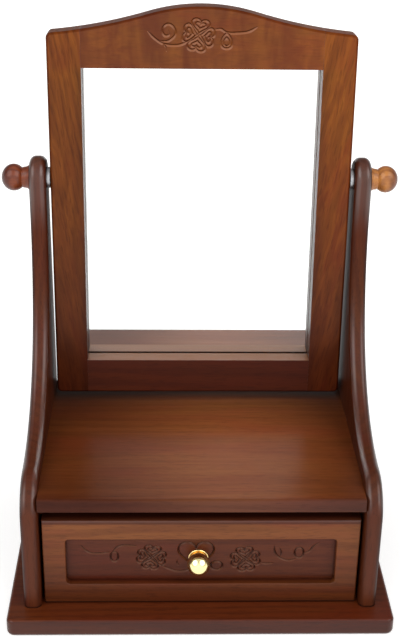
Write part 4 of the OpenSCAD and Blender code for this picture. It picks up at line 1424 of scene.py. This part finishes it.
def make_washer(side, knobs, material):
    """A spacer washer with eased edges."""
    way, r = SIDES[side], (WASHER_HIGH.z - WASHER_LOW.z) / 2
    hole = (STUD_HIGH.z - STUD_LOW.z) / 2 + knobs.washer_play
    low, high, ease = WASHER_LOW.x, WASHER_HIGH.x, knobs.washer_ease

    def at(x, radius):
        return (x, PIVOT.y, PIVOT.z + radius)

    moves = [
        ("line", at(low, r - ease)), ("arc", at(low + ease, r - ease), math.pi / 2),
        ("line", at(high - ease, r)), ("arc", at(high - ease, r - ease), math.pi / 2),
        ("line", at(high, hole)), ("line", at(low, hole)),
    ]
    bm = bmesh.new()
    trace(bm, at(low, hole), moves, (0, 1, 0))
    bmesh.ops.remove_doubles(bm, verts=bm.verts, dist=WELD)
    lathe(bm, PIVOT, RIGHT, 64)
    bmesh.ops.scale(bm, verts=bm.verts, vec=(way, 1, 1))
    finish_piece(bm, f"{side}_spacer", "stand", material, [f"{side}_washer"])


def make_drawer_pull(knobs, material):
    """The brass knob: a flange with a round rim, a hollow neck and a ball."""
    centre_x = (PULL_LOW.x + PULL_HIGH.x) / 2
    centre_z = (PULL_LOW.z + PULL_HIGH.z) / 2
    ball, rim = knobs.pull_ball / 2, knobs.pull_rim / 2
    reach = (PULL_HIGH.y - PULL_LOW.y) - ball
    neck, flange = knobs.pull_neck / 2, knobs.pull_flange
    meet = reach - math.sqrt(ball ** 2 - neck ** 2)

    def at(out, r):
        return (centre_x + r, PULL_HIGH.y - out, centre_z)

    swing = math.pi - math.asin(neck / ball)
    cove = meet - flange
    moves = [
        ("line", at(0, rim - flange / 2)),
        ("arc", at(flange / 2, rim - flange / 2), -math.pi),
        *[("line", at(flange + along * cove, neck + out * MM)) for along, out in PULL_COVE],
        ("line", at(meet, neck)),
        ("arc", at(reach, 0), -swing),
    ]
    bm = bmesh.new()
    trace(bm, at(0, 0), moves, UP)
    lathe(bm, (centre_x, 0, centre_z), (0, 1, 0), 64)
    finish_piece(bm, "brass_drawer_knob", "drawer", material, ["drawer_knob"])


# Stage

# The way that the left key light shines; the right one shines the other way across
KEY_BEAM = Vector((0.75, 0.55, -0.8))


def make_floor(stage):
    """A floor of pale paper that glows faintly."""
    bm = bmesh.new()
    bmesh.ops.create_grid(bm, x_segments=8, y_segments=8, size=stage.floor_reach)
    mesh = bpy.data.meshes.new("floor")
    bm.to_mesh(mesh)
    bm.free()
    floor = bpy.data.objects.new("floor", mesh)
    bpy.context.scene.collection.objects.link(floor)
    material, tree, shader = new_tree("floor_paper")
    cloud = noise(tree, object_place(tree), scale=3)
    paper = blend(tree, cloud, stage.floor, Vector(stage.floor) * 0.985)
    tree.links.new(paper, shader.inputs["Base Color"])
    shader.inputs["Roughness"].default_value = 0.7
    shader.inputs["Emission Color"].default_value = (*stage.floor, 1)
    shader.inputs["Emission Strength"].default_value = stage.floor_glow
    mesh.materials.append(material)


def make_room(stage):
    """Soft white light all around, strongest from the front and at the horizon."""
    world = bpy.data.worlds.new("soft_room")
    bpy.context.scene.world = world
    world.use_nodes = True
    room = world.node_tree
    background = room.nodes["Background"]
    way = add(room, "SeparateXYZ", {"Vector": add(room, "TexCoord").outputs["Generated"]}).outputs
    front = between(room, way["Y"], -0.98, -0.35, stage.front_light, stage.back_light)
    horizon = between(room, way["Z"], 0.45, 0.1, 0.0, stage.horizon)
    above = between(room, way["Z"], 0.75, 1.0, 0.0, stage.ceiling)
    strength = sums(room, "ADD", sums(room, "MAXIMUM", front, horizon), above)
    room.links.new(strength, background.inputs["Strength"])
    background.inputs["Color"].default_value = (1, 1, 1, 1)


def make_key_lights(stage):
    """Two soft lights that shine down from the front, one on each side."""
    for side, way in SIDES.items():
        key = bpy.data.lights.new(f"{side}_key", "SUN")
        key.energy = stage.key_light
        key.angle = stage.key_spread
        lamp = bpy.data.objects.new(f"{side}_key", key)
        bpy.context.scene.collection.objects.link(lamp)
        beam = KEY_BEAM * Vector((-way, 1, 1))
        lamp.rotation_euler = beam.to_track_quat("-Z", "Y").to_euler()


def make_camera(stage):
    """The camera, at the photograph's viewing angle."""
    camera = bpy.data.objects.new("camera", bpy.data.cameras.new("camera"))
    bpy.context.scene.collection.objects.link(camera)
    camera.data.lens = stage.lens
    camera.data.clip_start = 10 * MM
    turn = (Matrix.Rotation(-stage.yaw, 4, "Z")
            @ Matrix.Rotation(math.pi / 2 - stage.pitch, 4, "X")
            @ Matrix.Rotation(stage.roll, 4, "Z"))
    camera.matrix_world = Matrix.Translation(stage.camera_at) @ turn
    bpy.context.scene.camera = camera


# Operators

def settings():
    """The mirror's settings."""
    return bpy.context.scene.makeup_mirror


def paint_nodes(material, *names):
    """Gives CAD nodes a finish."""
    for name in names:
        slots = frame["nodes"][name].data.materials
        slots.clear()
        slots.append(material)


class MIRROR_OT_stage(bpy.types.Operator):
    """Makes the floor, the lights and the camera"""
    bl_idname = "makeup_mirror.stage"
    bl_label = "Stage"

    def execute(self, context):
        stage = settings().stage
        make_floor(stage)
        make_room(stage)
        make_key_lights(stage)
        make_camera(stage)
        context.scene.view_settings.view_transform = "Standard"
        return {"FINISHED"}


class MIRROR_OT_stand(bpy.types.Operator):
    """Makes the base, the side panels and the shelf"""
    bl_idname = "makeup_mirror.stand"
    bl_label = "Stand"

    def execute(self, context):
        stand, finish = settings().stand, settings().finish
        make_base(stand, base_stain(finish))
        make_shelf(stand, shelf_stain(finish))
        for side in SIDES:
            make_side_panel(side, stand, panel_stain(side, finish))
        return {"FINISHED"}


class MIRROR_OT_frame(bpy.types.Operator):
    """Makes the mirror's stiles and rails, with the clover engraved in its crest"""
    bl_idname = "makeup_mirror.frame"
    bl_label = "Mirror frame"

    def execute(self, context):
        sizes, finish, carving = settings().frame, settings().finish, settings().carving
        place = in_plane(sizes.lean, PIVOT)
        for side in SIDES:
            make_stile(side, sizes, stile_stain(side, sizes, finish), place)
        make_crest(sizes, carving, crest_stain(sizes, finish), place)
        make_foot_rail(sizes, foot_rail_stain(sizes, finish), place)
        return {"FINISHED"}


class MIRROR_OT_glass(bpy.types.Operator):
    """Makes the silvered glass and finishes the board behind it"""
    bl_idname = "makeup_mirror.glass"
    bl_label = "Glass"

    def execute(self, context):
        sizes, finish = settings().frame, settings().finish
        silver = bright_metal("silvering", finish.silver, 0.0, 0.01, scale=20, spread=0.995)
        make_glass(sizes, clear_glass("clear_glass"), silver, in_plane(sizes.lean, PIVOT))
        paint_nodes(hardboard("backing_hardboard", finish.board), "backing_board")
        return {"FINISHED"}


class MIRROR_OT_drawer(bpy.types.Operator):
    """Makes the carved drawer front and the drawer's box"""
    bl_idname = "makeup_mirror.drawer"
    bl_label = "Drawer"

    def execute(self, context):
        drawer, finish, carving = settings().drawer, settings().finish, settings().carving
        make_drawer_front(drawer, carving, drawer_stain(drawer, carving, finish))
        make_drawer_box(drawer, bare_wood("drawer_wood", finish.bare, ALONG_Y, (0.2, 0.1, 0.08)))
        plain = bare_wood("plain_wood", finish.bare, ALONG_X, (0.5, 0.12, 0.2))
        paint_nodes(plain, "drawer_bottom", "drawer_dowels", "shelf_dowels", "rail_dowels",
                    "frame_dowels")
        return {"FINISHED"}


class MIRROR_OT_knobs(bpy.types.Operator):
    """Makes the side knobs, the washers and the drawer's brass knob"""
    bl_idname = "makeup_mirror.knobs"
    bl_label = "Knobs"

    def execute(self, context):
        knobs, finish = settings().knobs, settings().finish
        steel = bright_metal("plated_steel", finish.steel, 0.32, 0.42)
        brass = bright_metal("polished_brass", finish.brass, 0.12, 0.18)
        for side, tone in (("left", finish.left_knob), ("right", finish.right_knob)):
            make_side_knob(side, knobs, knob_wood(side, tone, finish.gloss))
            make_washer(side, knobs, steel)
        make_drawer_pull(knobs, knob_brass("knob_brass", finish.brass, finish.worn_brass))
        paint_nodes(steel, "base_screws", "back_brads", "backing_pins", "left_stud", "right_stud",
                    "drawer_brads", "drawer_knob_screw")
        paint_nodes(brass, "left_insert", "right_insert")
        return {"FINISHED"}


class MIRROR_OT_back(bpy.types.Operator):
    """Finishes the drawer case's back panel and the rail under the shelf"""
    bl_idname = "makeup_mirror.back"
    bl_label = "Back and rail"

    def execute(self, context):
        paint_nodes(back_stain(settings().finish), "back_panel", "drawer_rail")
        return {"FINISHED"}


class MIRROR_PT_panel(bpy.types.Panel):
    """Lists the mirror's pieces and settings"""
    bl_idname = "MIRROR_PT_panel"
    bl_label = "Makeup mirror"
    bl_space_type = "VIEW_3D"
    bl_region_type = "UI"
    bl_category = "Mirror"

    def draw(self, context):
        for piece in PIECES:
            self.layout.operator(piece.bl_idname)
        for group in MirrorSettings.__annotations__:
            box = self.layout.box()
            box.label(text=group.capitalize())
            values = getattr(context.scene.makeup_mirror, group)
            for name in type(values).__annotations__:
                box.prop(values, name)


GROUPS = (StandSettings, FrameSettings, DrawerSettings, CarvingSettings, KnobSettings,
          FinishSettings, StageSettings, MirrorSettings)
PIECES = (MIRROR_OT_stage, MIRROR_OT_stand, MIRROR_OT_frame, MIRROR_OT_glass, MIRROR_OT_drawer,
          MIRROR_OT_knobs, MIRROR_OT_back)


def register():
    for cls in (*GROUPS, *PIECES, MIRROR_PT_panel):
        bpy.utils.register_class(cls)
    bpy.types.Scene.makeup_mirror = PointerProperty(type=MirrorSettings)


def unregister():
    del bpy.types.Scene.makeup_mirror
    for cls in reversed((*GROUPS, *PIECES, MIRROR_PT_panel)):
        bpy.utils.unregister_class(cls)


def main():
    """Makes every piece."""
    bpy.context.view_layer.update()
    register()
    bpy.ops.makeup_mirror.stage()
    bpy.ops.makeup_mirror.stand()
    bpy.ops.makeup_mirror.frame()
    bpy.ops.makeup_mirror.glass()
    bpy.ops.makeup_mirror.drawer()
    bpy.ops.makeup_mirror.knobs()
    bpy.ops.makeup_mirror.back()


if __name__ == "__main__":
    main()
